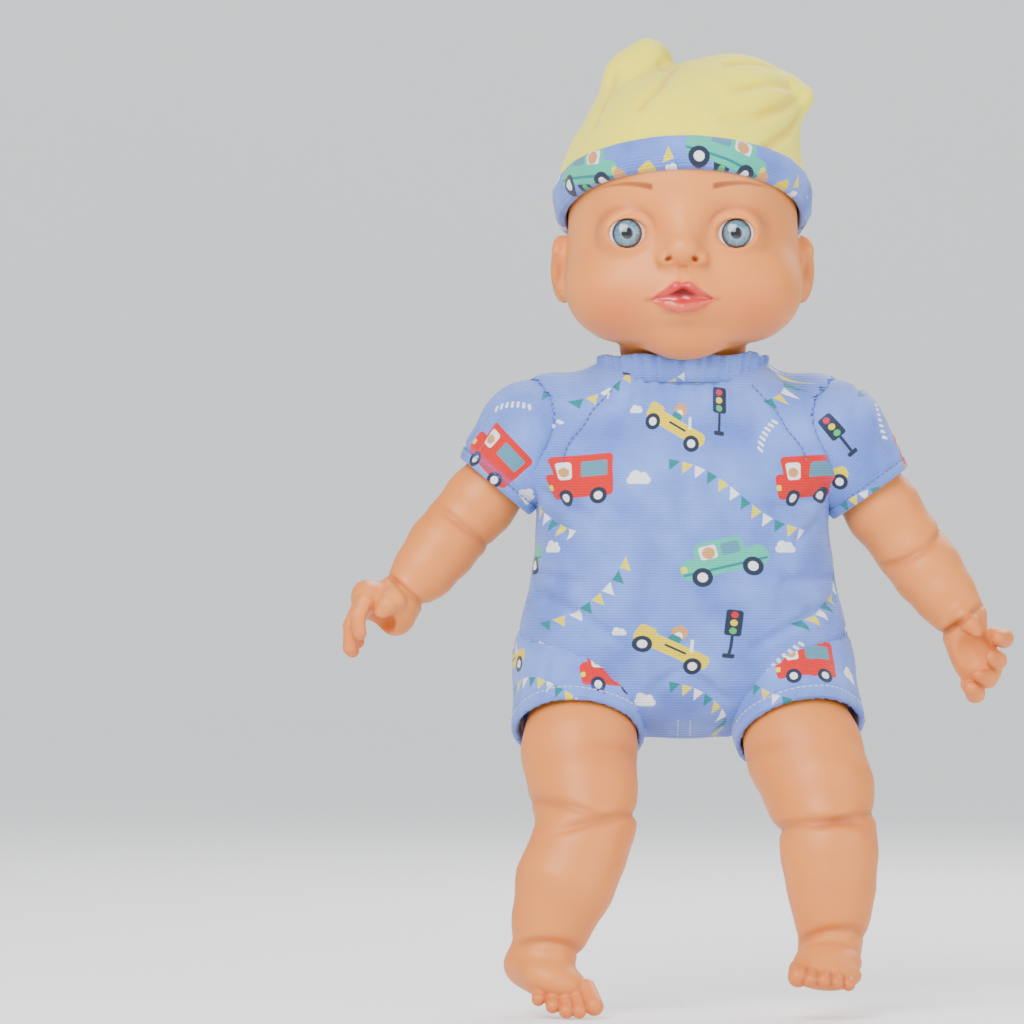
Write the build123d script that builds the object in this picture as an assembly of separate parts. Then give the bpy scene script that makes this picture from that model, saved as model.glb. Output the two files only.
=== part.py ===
"""Interactive baby doll: vinyl head, arms and legs on a stuffed cloth body in a printed romper and a knit hat.

Working frame while building: X to the doll's left, -Y to its front, +Z up, heights over the lower toes.
Every node is moved to the stored frame on export: its origin is the back of the waist, where a stand holds it.
"""
import os
from math import cos, radians, sin

from build123d import *

# ---- driving dimensions, in millimetres and degrees ----
WAIST_HOLD = (0.0, 36.0, 150.0)  # where a doll stand's saddle touches the back
SIDES = {"right": -1, "left": 1}  # the doll's own right is at -X

# Torso: height, half width, half depth of its outer knit surface
TORSO_SECTIONS = [
    (102, 20, 19), (114, 42, 28), (134, 54, 32), (162, 53, 33),
    (190, 51, 31), (206, 47, 29), (218, 40, 27), (228, 30, 27.5),
]
KNIT = 1.4  # romper fabric with its seam allowance
COVER = 1.0  # cloth body skin
LAYER_GAP = 0.2
PLAY = 1.2  # clearance round everything that turns

# Neck and head
NOD_PIVOT = (0.0, 0.0, 228.0)
NECK_BALL, NECK_COLUMN, NECK_DISC = 15.0, 13.0, 18.0
HEAD_CENTRE = (0.0, -4.0, 285.0)
HEAD_SEMI = (42.5, 46.0, 49.5)
VINYL = 2.4
HEAD_NECK_RADIUS, HEAD_NECK_BOTTOM = 22.0, 236.0
EYE_X, EYE_Y, EYE_Z, EYE_BALL = 20.0, -38.0, 281.0, 8.6
IRIS_RADIUS, IRIS_FRONT = 5.3, -45.8

# Hat: the opening's plane leans back
HAT_LEAN = 21.0
HAT_OPENING = (0.0, -4.0, 286.5)
HAT_GAP, HAT_THICK, BAND_THICK, BAND_HEIGHT = 1.2, 2.0, 3.0, 11.0

# Shoulders and arms
SHOULDER = (54.0, 0.0, 207.0)
ARM_ANGLE = {"right": 40.0, "left": 35.5}  # from straight down, outwards
ARM_REACH = [(24, 12.4), (31, 13.2), (40, 12.0), (50, 12.6), (60, 11.4), (73, 8.8), (80, 9.0)]
ARM_FORWARD = 0.30  # how far the forearm comes forward per millimetre past the elbow
ELBOW = 40.0
ARM_FLANGE, ARM_NECK = (14.8, 17.0, 10.0), 8.0

# Hips and legs
HIP = (36.0, 0.0, 125.0)
THIGH_LEAN = 35.0  # forwards of straight down
KNEE = {"right": (-35.0, -39.0, 67.0), "left": (51.0, -39.0, 66.0)}
ANKLE = {"right": (-50.5, -48.0, 26.0), "left": (52.0, -46.0, 32.0)}
TOE_TIP = {"right": (-40.0, -68.0, 4.5), "left": (48.5, -78.0, 16.0)}
LEG_FLANGE, LEG_NECK = (19.4, 21.8, 14.3), 11.5

# Sound module in the tummy
MODULE = (0.0, -3.0, 165.0)
CASE_RADIUS, CASE_WALL, CASE_FRONT, CASE_BACK = 24.0, 1.6, -16.0, 9.0
CELL_RADIUS, CELL_THICK = 5.8, 5.4


# ---- helpers ----
def save(name, shape):
    """Write one node in the stored frame."""
    export_step(Pos(*[-v for v in WAIST_HOLD]) * shape, f"parts/{name}.step")


def ellipsoid(centre, semi):
    """Solid ellipsoid."""
    return Pos(*centre) * scale(Sphere(1.0), by=tuple(semi))


def grown(semi, by):
    """Semi-axes all larger by the same amount."""
    return tuple(s + by for s in semi)


def capsule(start, end, radius):
    """Round-ended rod between two points."""
    a, b = Vector(*start), Vector(*end)
    length, half = (b - a).length, radius * sin(radians(45))
    with BuildPart() as rod:
        with BuildSketch(Plane.XZ):
            with BuildLine():
                ThreePointArc((0, -radius), (half, -half), (radius, 0))
                Line((radius, 0), (radius, length))
                ThreePointArc((radius, length), (half, length + half), (0, length + radius))
                Line((0, length + radius), (0, -radius))
            make_face()
        revolve(axis=Axis.Z)
    return Plane(origin=start, z_dir=b - a).location * rod.part


def turned(points):
    """Solid of revolution about Z from a closed (radius, height) outline."""
    with BuildPart() as body:
        with BuildSketch(Plane.XZ):
            with BuildLine():
                Polyline(*points, close=True)
            make_face()
        revolve(axis=Axis.Z)
    return body.part


def rod_y(radius, front, back, x=0.0, z=0.0):
    """Cylinder along Y between two depths, about the module's centre."""
    centre = Pos(MODULE[0] + x, (front + back) / 2, MODULE[2] + z)
    return centre * Rot(90, 0, 0) * Cylinder(radius, back - front)


def block(size, x, y, z):
    """Box centred beside the module's centre; y is a depth in the working frame."""
    return Pos(MODULE[0] + x, y, MODULE[2] + z) * Box(*size)


def tube_through(stations, x_dir, inset=0.0):
    """Smooth solid through round sections, each a centre and a radius."""
    sections = []
    for i, (centre, radius) in enumerate(stations):
        before = Vector(*stations[max(i - 1, 0)][0])
        after = Vector(*stations[min(i + 1, len(stations) - 1)][0])
        plane = Plane(origin=centre, x_dir=x_dir, z_dir=after - before)
        sections.append(plane * Circle(radius - inset))
    return loft(sections)


# ---- limb frames ----
def arm_direction(side):
    """Unit vector from the shoulder along the upper arm."""
    angle = radians(ARM_ANGLE[side])
    return Vector(SIDES[side] * sin(angle), 0, -cos(angle))


def thigh_direction():
    """Unit vector from the hip along the thigh."""
    return Vector(0, -sin(radians(THIGH_LEAN)), -cos(radians(THIGH_LEAN)))


def shoulder_frame(side):
    """Frame at the shoulder's centre with Z along the upper arm."""
    origin = (SIDES[side] * SHOULDER[0], SHOULDER[1], SHOULDER[2])
    return Plane(origin=origin, x_dir=(0, 1, 0), z_dir=arm_direction(side)).location


def hip_frame(side):
    """Frame at the hip's centre with Z along the thigh."""
    origin = (SIDES[side] * HIP[0], HIP[1], HIP[2])
    return Plane(origin=origin, x_dir=(1, 0, 0), z_dir=thigh_direction()).location


# ---- torso ----
SHOULDER_SOCKET, SHOULDER_RECESS, SHOULDER_FLAT = 22.5, 36.0, 45.5
HIP_SOCKET, HIP_INNER, HIP_OUTER, HIP_REACH = 28.5, 27.0, 34.0, 60.0
THIGH_ROOM = 25.0  # radius swept by a shorts leg


def torso_solid(inset):
    """Body shape, drawn in from the outer knit surface."""
    last = len(TORSO_SECTIONS) - 1
    sections = []
    for i, (z, half_width, half_depth) in enumerate(TORSO_SECTIONS):
        lift = inset if i == 0 else -inset if i == last else 0.0
        sections.append(Pos(0, 0, z + lift) * Ellipse(half_width - inset, half_depth - inset))
    return loft(sections)


def hip_clearance(side):
    """Room for one thigh and its shorts leg, from straight down round to straight forwards."""
    s = SIDES[side]
    centre = Pos(s * HIP[0], HIP[1], HIP[2])
    quarter = Box(HIP_INNER + HIP_OUTER, HIP_REACH, HIP_REACH, align=(Align.CENTER, Align.MAX, Align.MAX))
    return [
        centre * Sphere(HIP_SOCKET),
        centre * Pos(s * (HIP_OUTER - HIP_INNER) / 2, 0, 0) * quarter,
        centre * Pos(0, -HIP_REACH / 2, 0) * Rot(90, 0, 0) * Cylinder(THIGH_ROOM, HIP_REACH),
        centre * Pos(0, 0, -HIP_REACH / 2) * Cylinder(THIGH_ROOM, HIP_REACH),
    ]


def shoulder_clearance(side):
    """Room for one sleeve root, and a flat recess for the sleeve as it swings."""
    x, depth = SIDES[side] * SHOULDER[0], 30.0
    middle = SIDES[side] * (SHOULDER_FLAT + depth / 2)
    return [
        Pos(x, SHOULDER[1], SHOULDER[2]) * Sphere(SHOULDER_SOCKET),
        Pos(middle, SHOULDER[1], SHOULDER[2]) * Rot(0, 90, 0) * Cylinder(SHOULDER_RECESS, depth),
    ]


def torso_layer(inset):
    """Body shape with room cut for the neck and every limb."""
    layer = torso_solid(inset) - Pos(*NOD_PIVOT) * Sphere(NECK_BALL + PLAY)
    for side in SIDES:
        for room in shoulder_clearance(side) + hip_clearance(side):
            layer = layer - room
    return layer


def make_torso():
    """Romper body, cloth skin and stuffing, one inside the other."""
    skin_inset = KNIT + LAYER_GAP
    fill_inset = skin_inset + COVER + LAYER_GAP
    pocket = rod_y(CASE_RADIUS + 1.0, CASE_FRONT - 5.0, CASE_BACK + 1.0)
    save("romper_body", torso_layer(0.0) - torso_solid(KNIT))
    save("torso_cover", torso_layer(skin_inset) - torso_solid(skin_inset + COVER))
    save("torso_stuffing", torso_layer(fill_inset) - pocket)


def make_collar():
    """Gathered knit ring round the neck opening."""
    bottom, height = TORSO_SECTIONS[-1][0], 7.0
    ring = Ellipse(30.0, 28.5) - Ellipse(26.6, 25.2)
    save("romper_collar", Pos(0, 0, bottom) * extrude(ring, height))


def make_back_closure():
    """Hook-and-loop strips down the back opening, one on the other."""
    width, thick, height, low = 11.0, 0.9, 44.0, 142.0
    for i, name in enumerate(("loop_strip", "hook_strip")):
        depth = TORSO_SECTIONS[3][2] + 0.25 + i * (thick + 0.1)
        save(name, Pos(0, depth + thick / 2, low + height / 2) * Box(width, thick, height))


# ---- sound module ----
BUTTON_AT, SPEAKER_AT = 11.0, -10.0  # heights over the module's centre
BUTTON_TRAVEL = 1.5
SPLIT = -3.0


def make_module_case():
    """Two cups that meet, with the button hole, the grille and the battery opening."""
    inner = CASE_RADIUS - CASE_WALL
    front = rod_y(CASE_RADIUS, CASE_FRONT, SPLIT) - rod_y(inner, CASE_FRONT + CASE_WALL, SPLIT)
    front = front - rod_y(7.2, CASE_FRONT - 1, CASE_FRONT + 3, z=BUTTON_AT)
    for ring, count in ((0.0, 1), (3.2, 6), (6.2, 10)):
        for k in range(count):
            angle = 2 * 180.0 * k / count
            x, z = ring * cos(radians(angle)), ring * sin(radians(angle))
            front = front - rod_y(0.8, CASE_FRONT - 1, CASE_FRONT + 3, x, SPEAKER_AT + z)
    back = rod_y(CASE_RADIUS, SPLIT + 0.1, CASE_BACK) - rod_y(inner, SPLIT + 0.1, CASE_BACK - CASE_WALL)
    back = back - block((40.0, 6.0, 13.4), 0, CASE_BACK, 0) - block((9.0, 6.0, 3.0), 0, CASE_BACK, -14.0)
    for side in (-1, 1):
        back = back - rod_y(1.2, CASE_BACK - 3, CASE_BACK + 1, side * 15.0, 14.0)
    save("module_front_case", front)
    save("module_rear_case", back)


def make_module_inside():
    """Board, chip, switch, speaker, cells and their contacts."""
    board_front = -7.0
    save("circuit_board", rod_y(CASE_RADIUS - CASE_WALL - 0.8, board_front, board_front + 1.2))
    save("sound_chip", rod_y(3.6, board_front + 1.2, board_front + 2.4, 9.0, 12.0))
    save("tact_switch", block((6.0, 2.6, 6.0), 0, board_front - 1.3, BUTTON_AT))
    cone = rod_y(7.4, CASE_FRONT + 2.4, CASE_FRONT + 5.0, z=SPEAKER_AT)
    magnet = rod_y(4.2, CASE_FRONT + 5.0, CASE_FRONT + 8.0, z=SPEAKER_AT)
    save("speaker", cone + magnet)
    foam = rod_y(8.0, CASE_FRONT + 1.6, CASE_FRONT + 2.4, z=SPEAKER_AT)
    save("speaker_foam", foam - rod_y(6.0, CASE_FRONT + 1, CASE_FRONT + 3, z=SPEAKER_AT))
    cell_front = 1.2
    for i in range(3):
        x = (i - 1) * (2 * CELL_RADIUS + 0.8)
        save(f"battery_cell_{i + 1}", rod_y(CELL_RADIUS, cell_front, cell_front + CELL_THICK, x))
    save("battery_contacts", block((36.0, 0.4, 5.0), 0, cell_front - 0.3, 0))


def make_battery_door():
    """Door over the cells, and its one screw."""
    door = block((39.2, 1.4, 12.6), 0, CASE_BACK - 0.8, 0) - rod_y(1.3, CASE_BACK - 3, CASE_BACK + 1, 17.2)
    save("battery_door", door)
    screw = rod_y(1.1, CASE_BACK - 1.4, CASE_BACK + 0.1, 17.2) + rod_y(2.2, CASE_BACK + 0.1, CASE_BACK + 0.8, 17.2)
    save("battery_door_screw", screw)
    for i, side in enumerate((-1, 1)):
        rod = rod_y(1.1, CASE_BACK - 1.6, CASE_BACK, side * 15.0, 14.0)
        save(f"case_screw_{i + 1}", rod + rod_y(2.0, CASE_BACK, CASE_BACK + 0.7, side * 15.0, 14.0))


def make_controls():
    """Push button in the tummy and the slide switch's knob."""
    cap = rod_y(6.4, CASE_FRONT - 1.8, CASE_FRONT + 2.6, z=BUTTON_AT)
    tact_face = -7.0 - 2.6
    stem_end = tact_face - BUTTON_TRAVEL - 0.1
    cap = cap + rod_y(2.2, CASE_FRONT + 2.6, stem_end, z=BUTTON_AT)
    save("press_button", cap)
    knob = block((3.4, 2.8, 2.2), -1.6, CASE_BACK - 0.7, -14.0)
    save("switch_knob", knob)


# ---- neck, head and eyes ----
def make_neck():
    """Cloth neck with the hard disc that the vinyl head snaps over."""
    x, y, z = NOD_PIVOT
    lip_top = HEAD_NECK_BOTTOM + 2.2
    disc_bottom = lip_top + PLAY
    column = Pos(x, y, (z + disc_bottom) / 2) * Cylinder(NECK_COLUMN, disc_bottom - z)
    disc = Pos(x, y, disc_bottom + 1.3) * Cylinder(NECK_DISC, 2.6)
    save("neck_cloth", Pos(x, y, z) * Sphere(NECK_BALL) + column + disc)
    tie = Cylinder(NECK_COLUMN + 1.2, 2.2) - Cylinder(NECK_COLUMN, 2.2)
    save("neck_tie", Pos(x, y, HEAD_NECK_BOTTOM + 0.9) * tie)


def head_outer():
    """Skull with cheeks, nose, ears and the short neck."""
    skull = ellipsoid(HEAD_CENTRE, HEAD_SEMI)
    nose = ellipsoid((0, -49.5, 272.0), (8.5, 6.0, 6.5))
    neck_top = 258.0
    neck = Pos(0, 0, (HEAD_NECK_BOTTOM + neck_top) / 2) * Cylinder(HEAD_NECK_RADIUS, neck_top - HEAD_NECK_BOTTOM)
    shape = skull + nose + neck
    for s in SIDES.values():
        shape = shape + ellipsoid((s * 44.0, 3.0, 266.0), (5.5, 8.0, 12.0))
        shape = shape + ellipsoid((s * 17.0, -24.0, 261.0), (20.0, 19.0, 19.0))
    return shape


def make_head():
    """Hollow vinyl head."""
    cavity = ellipsoid(HEAD_CENTRE, grown(HEAD_SEMI, -VINYL))
    lip_top = HEAD_NECK_BOTTOM + 2.2
    lumen = Pos(0, 0, lip_top + 10) * Cylinder(HEAD_NECK_RADIUS - 2.2, 20)
    mouth = Pos(0, 0, HEAD_NECK_BOTTOM) * Cylinder(16.0, 10)
    head = head_outer() - cavity - lumen - mouth
    for s in SIDES.values():
        head = head - Pos(s * EYE_X, EYE_Y, EYE_Z) * Sphere(EYE_BALL + 0.4)
        head = head - Pos(s * EYE_X, EYE_Y - 14, EYE_Z) * Rot(90, 0, 0) * Cylinder(6.9, 16)
    save("head_shell", head)


def make_eyes():
    """White, iris and clear dome of each eye."""
    for side, s in SIDES.items():
        x, iris_back = s * EYE_X, IRIS_FRONT + 0.8
        front = Pos(x, iris_back - 10, EYE_Z) * Box(20, 20, 20)
        save(f"{side}_eye_white", Pos(x, EYE_Y, EYE_Z) * Sphere(EYE_BALL) - front)
        iris = Pos(x, IRIS_FRONT + 0.4, EYE_Z) * Rot(90, 0, 0) * Cylinder(IRIS_RADIUS, 0.8)
        save(f"{side}_eye_iris", iris)
        keep = Pos(x, IRIS_FRONT - 10, EYE_Z) * Box(20, 20, 20)
        dome = (Pos(x, EYE_Y - 3.2, EYE_Z) * Sphere(7.2)) & keep
        save(f"{side}_eye_dome", dome)


# ---- hat ----
def above(distance):
    """Half space on the crown's side of a plane this far over the hat's opening."""
    size = 240.0
    return Pos(*HAT_OPENING) * Rot(-HAT_LEAN, 0, 0) * Pos(0, 0, distance + size / 2) * Box(size, size, size)


def make_hat():
    """Knit crown with its two gathered corners, and the folded band."""
    cavity = ellipsoid(HEAD_CENTRE, grown(HEAD_SEMI, HAT_GAP))
    crown = ellipsoid(HEAD_CENTRE, grown(HEAD_SEMI, HAT_GAP + HAT_THICK))
    crown = crown + capsule((-17, 9, 331), (-12.5, 13, 343.5), 7.5)
    crown = crown + capsule((30, 6, 322), (41, 3, 330), 6.5)
    crown = (crown - cavity) & above(BAND_HEIGHT + LAYER_GAP)
    save("hat_crown", crown)
    band = ellipsoid(HEAD_CENTRE, grown(HEAD_SEMI, HAT_GAP + BAND_THICK)) - cavity
    save("hat_band", (band & above(0.0)) - above(BAND_HEIGHT))


# ---- arms ----
def ball_band(outer, inner, low, rim, end):
    """Open knit tube: a ball-shaped root that narrows to a hem, as (rim, end) radius and height."""
    with BuildPart() as tube:
        with BuildSketch(Plane.XZ):
            with BuildLine():
                wall = outer - inner
                start_out, start_in = (outer**2 - low**2) ** 0.5, (inner**2 - low**2) ** 0.5
                ThreePointArc((start_out, low), (outer, 0), (outer * cos(radians(32)), outer * sin(radians(32))))
                Line((outer * cos(radians(32)), outer * sin(radians(32))), (rim, end))
                Line((rim, end), (rim - wall, end))
                Line((rim - wall, end), (inner * cos(radians(32)), inner * sin(radians(32))))
                ThreePointArc((inner * cos(radians(32)), inner * sin(radians(32))), (inner, 0), (start_in, low))
                Line((start_in, low), (start_out, low))
            make_face()
        revolve(axis=Axis.Z)
    return tube.part


def stub(ball, radius, tube, flange, neck, lip_end):
    """Stuffed cloth end of a limb: a ball outside, a round hollow for the fill, a cup round the vinyl flange."""
    flange_low, flange_high, flange_radius = flange
    body = Sphere(radius) + Pos(0, 0, lip_end / 2) * Cylinder(tube, lip_end)
    cup_low, cup_high = flange_low - 1.0, flange_high + 1.0
    cup = Pos(0, 0, (cup_low + cup_high) / 2) * Cylinder(flange_radius + 1.0, cup_high - cup_low)
    mouth = Pos(0, 0, (cup_low + lip_end) / 2 + 1) * Cylinder(neck + 1.0, lip_end - cup_low + 2)
    return body - Sphere(ball + PLAY) - cup - mouth


def arm_point(side, reach):
    """Point on the arm's centre line, this far from the shoulder's centre."""
    p = Vector(SIDES[side] * SHOULDER[0], *SHOULDER[1:]) + arm_direction(side) * reach
    return (p.X, p.Y - ARM_FORWARD * max(0.0, reach - ELBOW), p.Z)


def hand(side):
    """Palm, four curled fingers and the thumb."""
    s = SIDES[side]
    px, py, pz = arm_point(side, 86)
    shape = ellipsoid((px, py, pz), (9.0, 7.0, 10.5))
    along = arm_direction(side)
    for k in range(4):
        out = 3.6 - k * 3.4
        root = (px + s * out * 0.8 + along.X * 6, py - 3.0 + 2.2 * k * 0.6, pz + out * 0.55 + along.Z * 6)
        tip = (root[0] + along.X * 9, root[1] - 3.0, root[2] + along.Z * 9)
        shape = shape + capsule(root, tip, 2.5)
    thumb_root = (px - s * 6.0, py - 3.0, pz - 1.0)
    return shape + capsule(thumb_root, (thumb_root[0] + s * 1.0, thumb_root[1] - 5.0, thumb_root[2] - 7.5), 2.7)


def make_arm(side):
    """Hollow vinyl arm, its cloth stub and tie, the sleeve and the loose fill at the shoulder."""
    frame = shoulder_frame(side)
    save(f"{side}_shoulder_stuffing", frame * Sphere(11.0))
    save(f"{side}_arm_stub", frame * stub(11.0, 17.5, 13.0, ARM_FLANGE, ARM_NECK, 19.5))
    save(f"{side}_arm_tie", frame * Pos(0, 0, 18.6) * (Cylinder(14.0, 1.6) - Cylinder(13.0, 1.6)))
    save(f"{side}_sleeve", frame * ball_band(21.0, 19.5, -9.0, 15.9, 23.0))
    stations = [(arm_point(side, reach), radius) for reach, radius in ARM_REACH]
    low, high, radius = ARM_FLANGE
    arm = tube_through(stations, (0, 1, 0)) + hand(side)
    start = ARM_REACH[0][0]
    neck_low = low
    arm = arm + frame * Pos(0, 0, (neck_low + start) / 2) * Cylinder(ARM_NECK, start - neck_low)
    arm = arm + frame * turned([(0, start - 3.3), (ARM_NECK, start - 3.3), (ARM_REACH[0][1], start), (0, start)])
    arm = arm + frame * Pos(0, 0, (low + high) / 2) * Cylinder(radius, high - low)
    hollow = tube_through(stations[:-1], (0, 1, 0), VINYL)
    bore = frame * Pos(0, 0, start / 2 + 6) * Cylinder(ARM_NECK - 2.0, start)
    save(f"{side}_arm_shell", arm - hollow - bore)


# ---- legs ----
def leg_stations(side):
    """Centres and radii from the top of the thigh to the ankle."""
    hip = Vector(SIDES[side] * HIP[0], HIP[1], HIP[2])
    along = thigh_direction()
    knee, ankle = Vector(*KNEE[side]), Vector(*ANKLE[side])
    top, lower = hip + along * 30, hip + along * 40
    mid = knee + (ankle - knee) * 0.45
    low = knee + (ankle - knee) * 0.8
    points = [(top, 20.0), (lower, 20.3), ((lower + knee) / 2, 18.8), (knee, 16.6), (mid, 16.8), (low, 13.0), (ankle, 11.4)]
    return [((p.X, p.Y, p.Z), r) for p, r in points]


def foot(side):
    """Heel, sole and five toes."""
    s = SIDES[side]
    ankle, tip = Vector(*ANKLE[side]), Vector(*TOE_TIP[side])
    way = (tip - ankle).normalized()
    across = Vector(s, 0, 0)
    heel = ankle + Vector(0, 5, -5)
    shape = ellipsoid((heel.X, heel.Y, heel.Z), (11.5, 12.0, 11.0))
    middle = ankle + (tip - ankle) * 0.5
    shape = shape + capsule((ankle.X, ankle.Y, ankle.Z - 3), (middle.X, middle.Y, middle.Z), 10.0)
    for k in range(5):
        radius = 3.9 if k == 0 else 3.2 - 0.15 * k
        side_shift = across * (-9.0 + 4.7 * k)
        end = tip + side_shift - way * (1.2 * k + radius)
        root = end - way * 13
        shape = shape + capsule((root.X, root.Y, root.Z), (end.X, end.Y, end.Z), radius)
    return shape


def make_leg(side):
    """Hollow vinyl leg, its cloth stub and tie, the shorts leg and the loose fill at the hip."""
    frame = hip_frame(side)
    save(f"{side}_hip_stuffing", frame * Sphere(15.0))
    save(f"{side}_leg_stub", frame * stub(15.0, 24.0, 19.0, LEG_FLANGE, LEG_NECK, 25.0))
    save(f"{side}_leg_tie", frame * Pos(0, 0, 24.0) * (Cylinder(20.2, 1.8) - Cylinder(19.0, 1.8)))
    save(f"{side}_shorts_leg", frame * ball_band(27.0, 25.4, -8.0, 23.4, 28.5))
    stations = leg_stations(side)
    low, high, radius = LEG_FLANGE
    leg = tube_through(stations, (1, 0, 0)) + foot(side)
    start = 30.0
    leg = leg + frame * Pos(0, 0, (low + start) / 2) * Cylinder(LEG_NECK, start - low)
    leg = leg + frame * turned([(0, start - 3.6), (LEG_NECK, start - 3.6), (20.0, start), (0, start)])
    leg = leg + frame * Pos(0, 0, (low + high) / 2) * Cylinder(radius, high - low)
    hollow = tube_through(stations[:-1], (1, 0, 0), VINYL)
    bore = frame * Pos(0, 0, start / 2 + 8) * Cylinder(LEG_NECK - 2.4, start)
    save(f"{side}_leg_shell", leg - hollow - bore)


def main():
    """Build every node."""
    os.makedirs("parts", exist_ok=True)
    make_torso()
    make_collar()
    make_back_closure()
    make_module_case()
    make_module_inside()
    make_battery_door()
    make_controls()
    make_neck()
    make_head()
    make_eyes()
    make_hat()
    for side in SIDES:
        make_arm(side)
        make_leg(side)


if __name__ == "__main__":
    main()
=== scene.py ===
"""Interactive baby doll: vinyl head, arms and legs, a stuffed printed romper and a knit hat.

Shapes are worked out in doll millimetres (X to the doll's left, -Y to its front, Z over the lower toes)
and placed in the frame's metres by metres().
"""
import logging
import math
from dataclasses import dataclass, field
from enum import Enum
from typing import Callable, Sequence

import bmesh
import bpy
import numpy as np
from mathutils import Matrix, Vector


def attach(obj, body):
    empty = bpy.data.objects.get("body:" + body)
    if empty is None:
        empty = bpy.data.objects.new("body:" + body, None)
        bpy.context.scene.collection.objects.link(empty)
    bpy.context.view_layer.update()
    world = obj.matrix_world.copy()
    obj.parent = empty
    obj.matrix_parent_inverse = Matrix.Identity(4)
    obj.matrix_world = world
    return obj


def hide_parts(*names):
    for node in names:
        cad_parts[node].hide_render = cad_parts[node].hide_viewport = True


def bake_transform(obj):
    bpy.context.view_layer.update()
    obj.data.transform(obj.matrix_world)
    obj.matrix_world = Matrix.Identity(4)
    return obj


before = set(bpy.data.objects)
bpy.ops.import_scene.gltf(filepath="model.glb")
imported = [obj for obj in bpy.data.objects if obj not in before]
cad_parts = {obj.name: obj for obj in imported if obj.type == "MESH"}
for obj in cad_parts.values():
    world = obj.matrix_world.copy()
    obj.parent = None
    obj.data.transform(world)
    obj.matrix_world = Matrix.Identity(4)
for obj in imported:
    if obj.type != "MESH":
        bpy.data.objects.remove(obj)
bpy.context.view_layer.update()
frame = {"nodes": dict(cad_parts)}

LOG = logging.getLogger("doll")
HOLD = np.array([0.0, 36.0, 150.0])  # back of the waist, the frame's origin, in doll millimetres
MM = 0.001
SIDES = {"right": -1.0, "left": 1.0}  # the doll's own right is at -X
Points = np.ndarray
Form = Callable[[Points], np.ndarray]
Colour = tuple[float, float, float]


def metres(points: Sequence[float] | Points) -> Points:
    """Doll millimetres to the frame's metres."""
    return (np.asarray(points, float) - HOLD) * MM


def smooth_step(x: np.ndarray, low: float, high: float) -> np.ndarray:
    """0 below low, 1 above high, and a smooth ramp between."""
    t = np.clip((x - low) / (high - low), 0.0, 1.0)
    return t * t * (3.0 - 2.0 * t)


# ---------------------------------------------------------------- forms
@dataclass(frozen=True)
class Ball:
    """An ellipsoid, optionally turned about Y."""

    centre: tuple[float, float, float]
    semi: tuple[float, float, float]
    lean: float = 0.0

    @property
    def size(self) -> float:
        """Farthest point from the middle."""
        return max(self.semi)

    @property
    def middle(self) -> Points:
        """Centre as an array."""
        return np.array(self.centre)

    def __call__(self, p: Points) -> np.ndarray:
        """Signed distance, close to exact near the surface."""
        q = p - self.middle
        if self.lean:
            c, s = math.cos(math.radians(self.lean)), math.sin(math.radians(self.lean))
            q = np.stack([q[:, 0] * c - q[:, 2] * s, q[:, 1], q[:, 0] * s + q[:, 2] * c], 1)
        semi = np.array(self.semi)
        near = np.linalg.norm(q / semi, axis=1)
        far = np.maximum(np.linalg.norm(q / semi**2, axis=1), 1e-9)
        return near * (near - 1.0) / far


@dataclass(frozen=True)
class Limb:
    """A chain of tapered round rods through points, each with its own radius."""

    points: tuple[tuple[float, float, float], ...]
    radii: tuple[float, ...]
    melt: float = 0.0

    @property
    def middle(self) -> Points:
        """Centre of the chain's box."""
        p = np.array(self.points)
        return (p.min(0) + p.max(0)) / 2

    @property
    def size(self) -> float:
        """Farthest surface point from the middle."""
        p = np.array(self.points)
        return float(np.linalg.norm(p - self.middle, axis=1).max() + max(self.radii))

    def __call__(self, p: Points) -> np.ndarray:
        """Signed distance to the chain."""
        best: np.ndarray | None = None
        rods = zip(self.points[:-1], self.points[1:], self.radii[:-1], self.radii[1:])
        for a, b, ra, rb in rods:
            start, along = np.array(a), np.array(b) - np.array(a)
            h = np.clip((p - start) @ along / max(along @ along, 1e-9), 0.0, 1.0)
            d = np.linalg.norm(p - start - h[:, None] * along, axis=1) - (ra + (rb - ra) * h)
            best = d if best is None else melted(best, d, self.melt)
        return best


def melted(a: np.ndarray, b: np.ndarray, width: float) -> np.ndarray:
    """Smooth union of two distances."""
    if width <= 0.0:
        return np.minimum(a, b)
    h = np.maximum(width - np.abs(a - b), 0.0) / width
    return np.minimum(a, b) - h * h * width * 0.25


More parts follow.
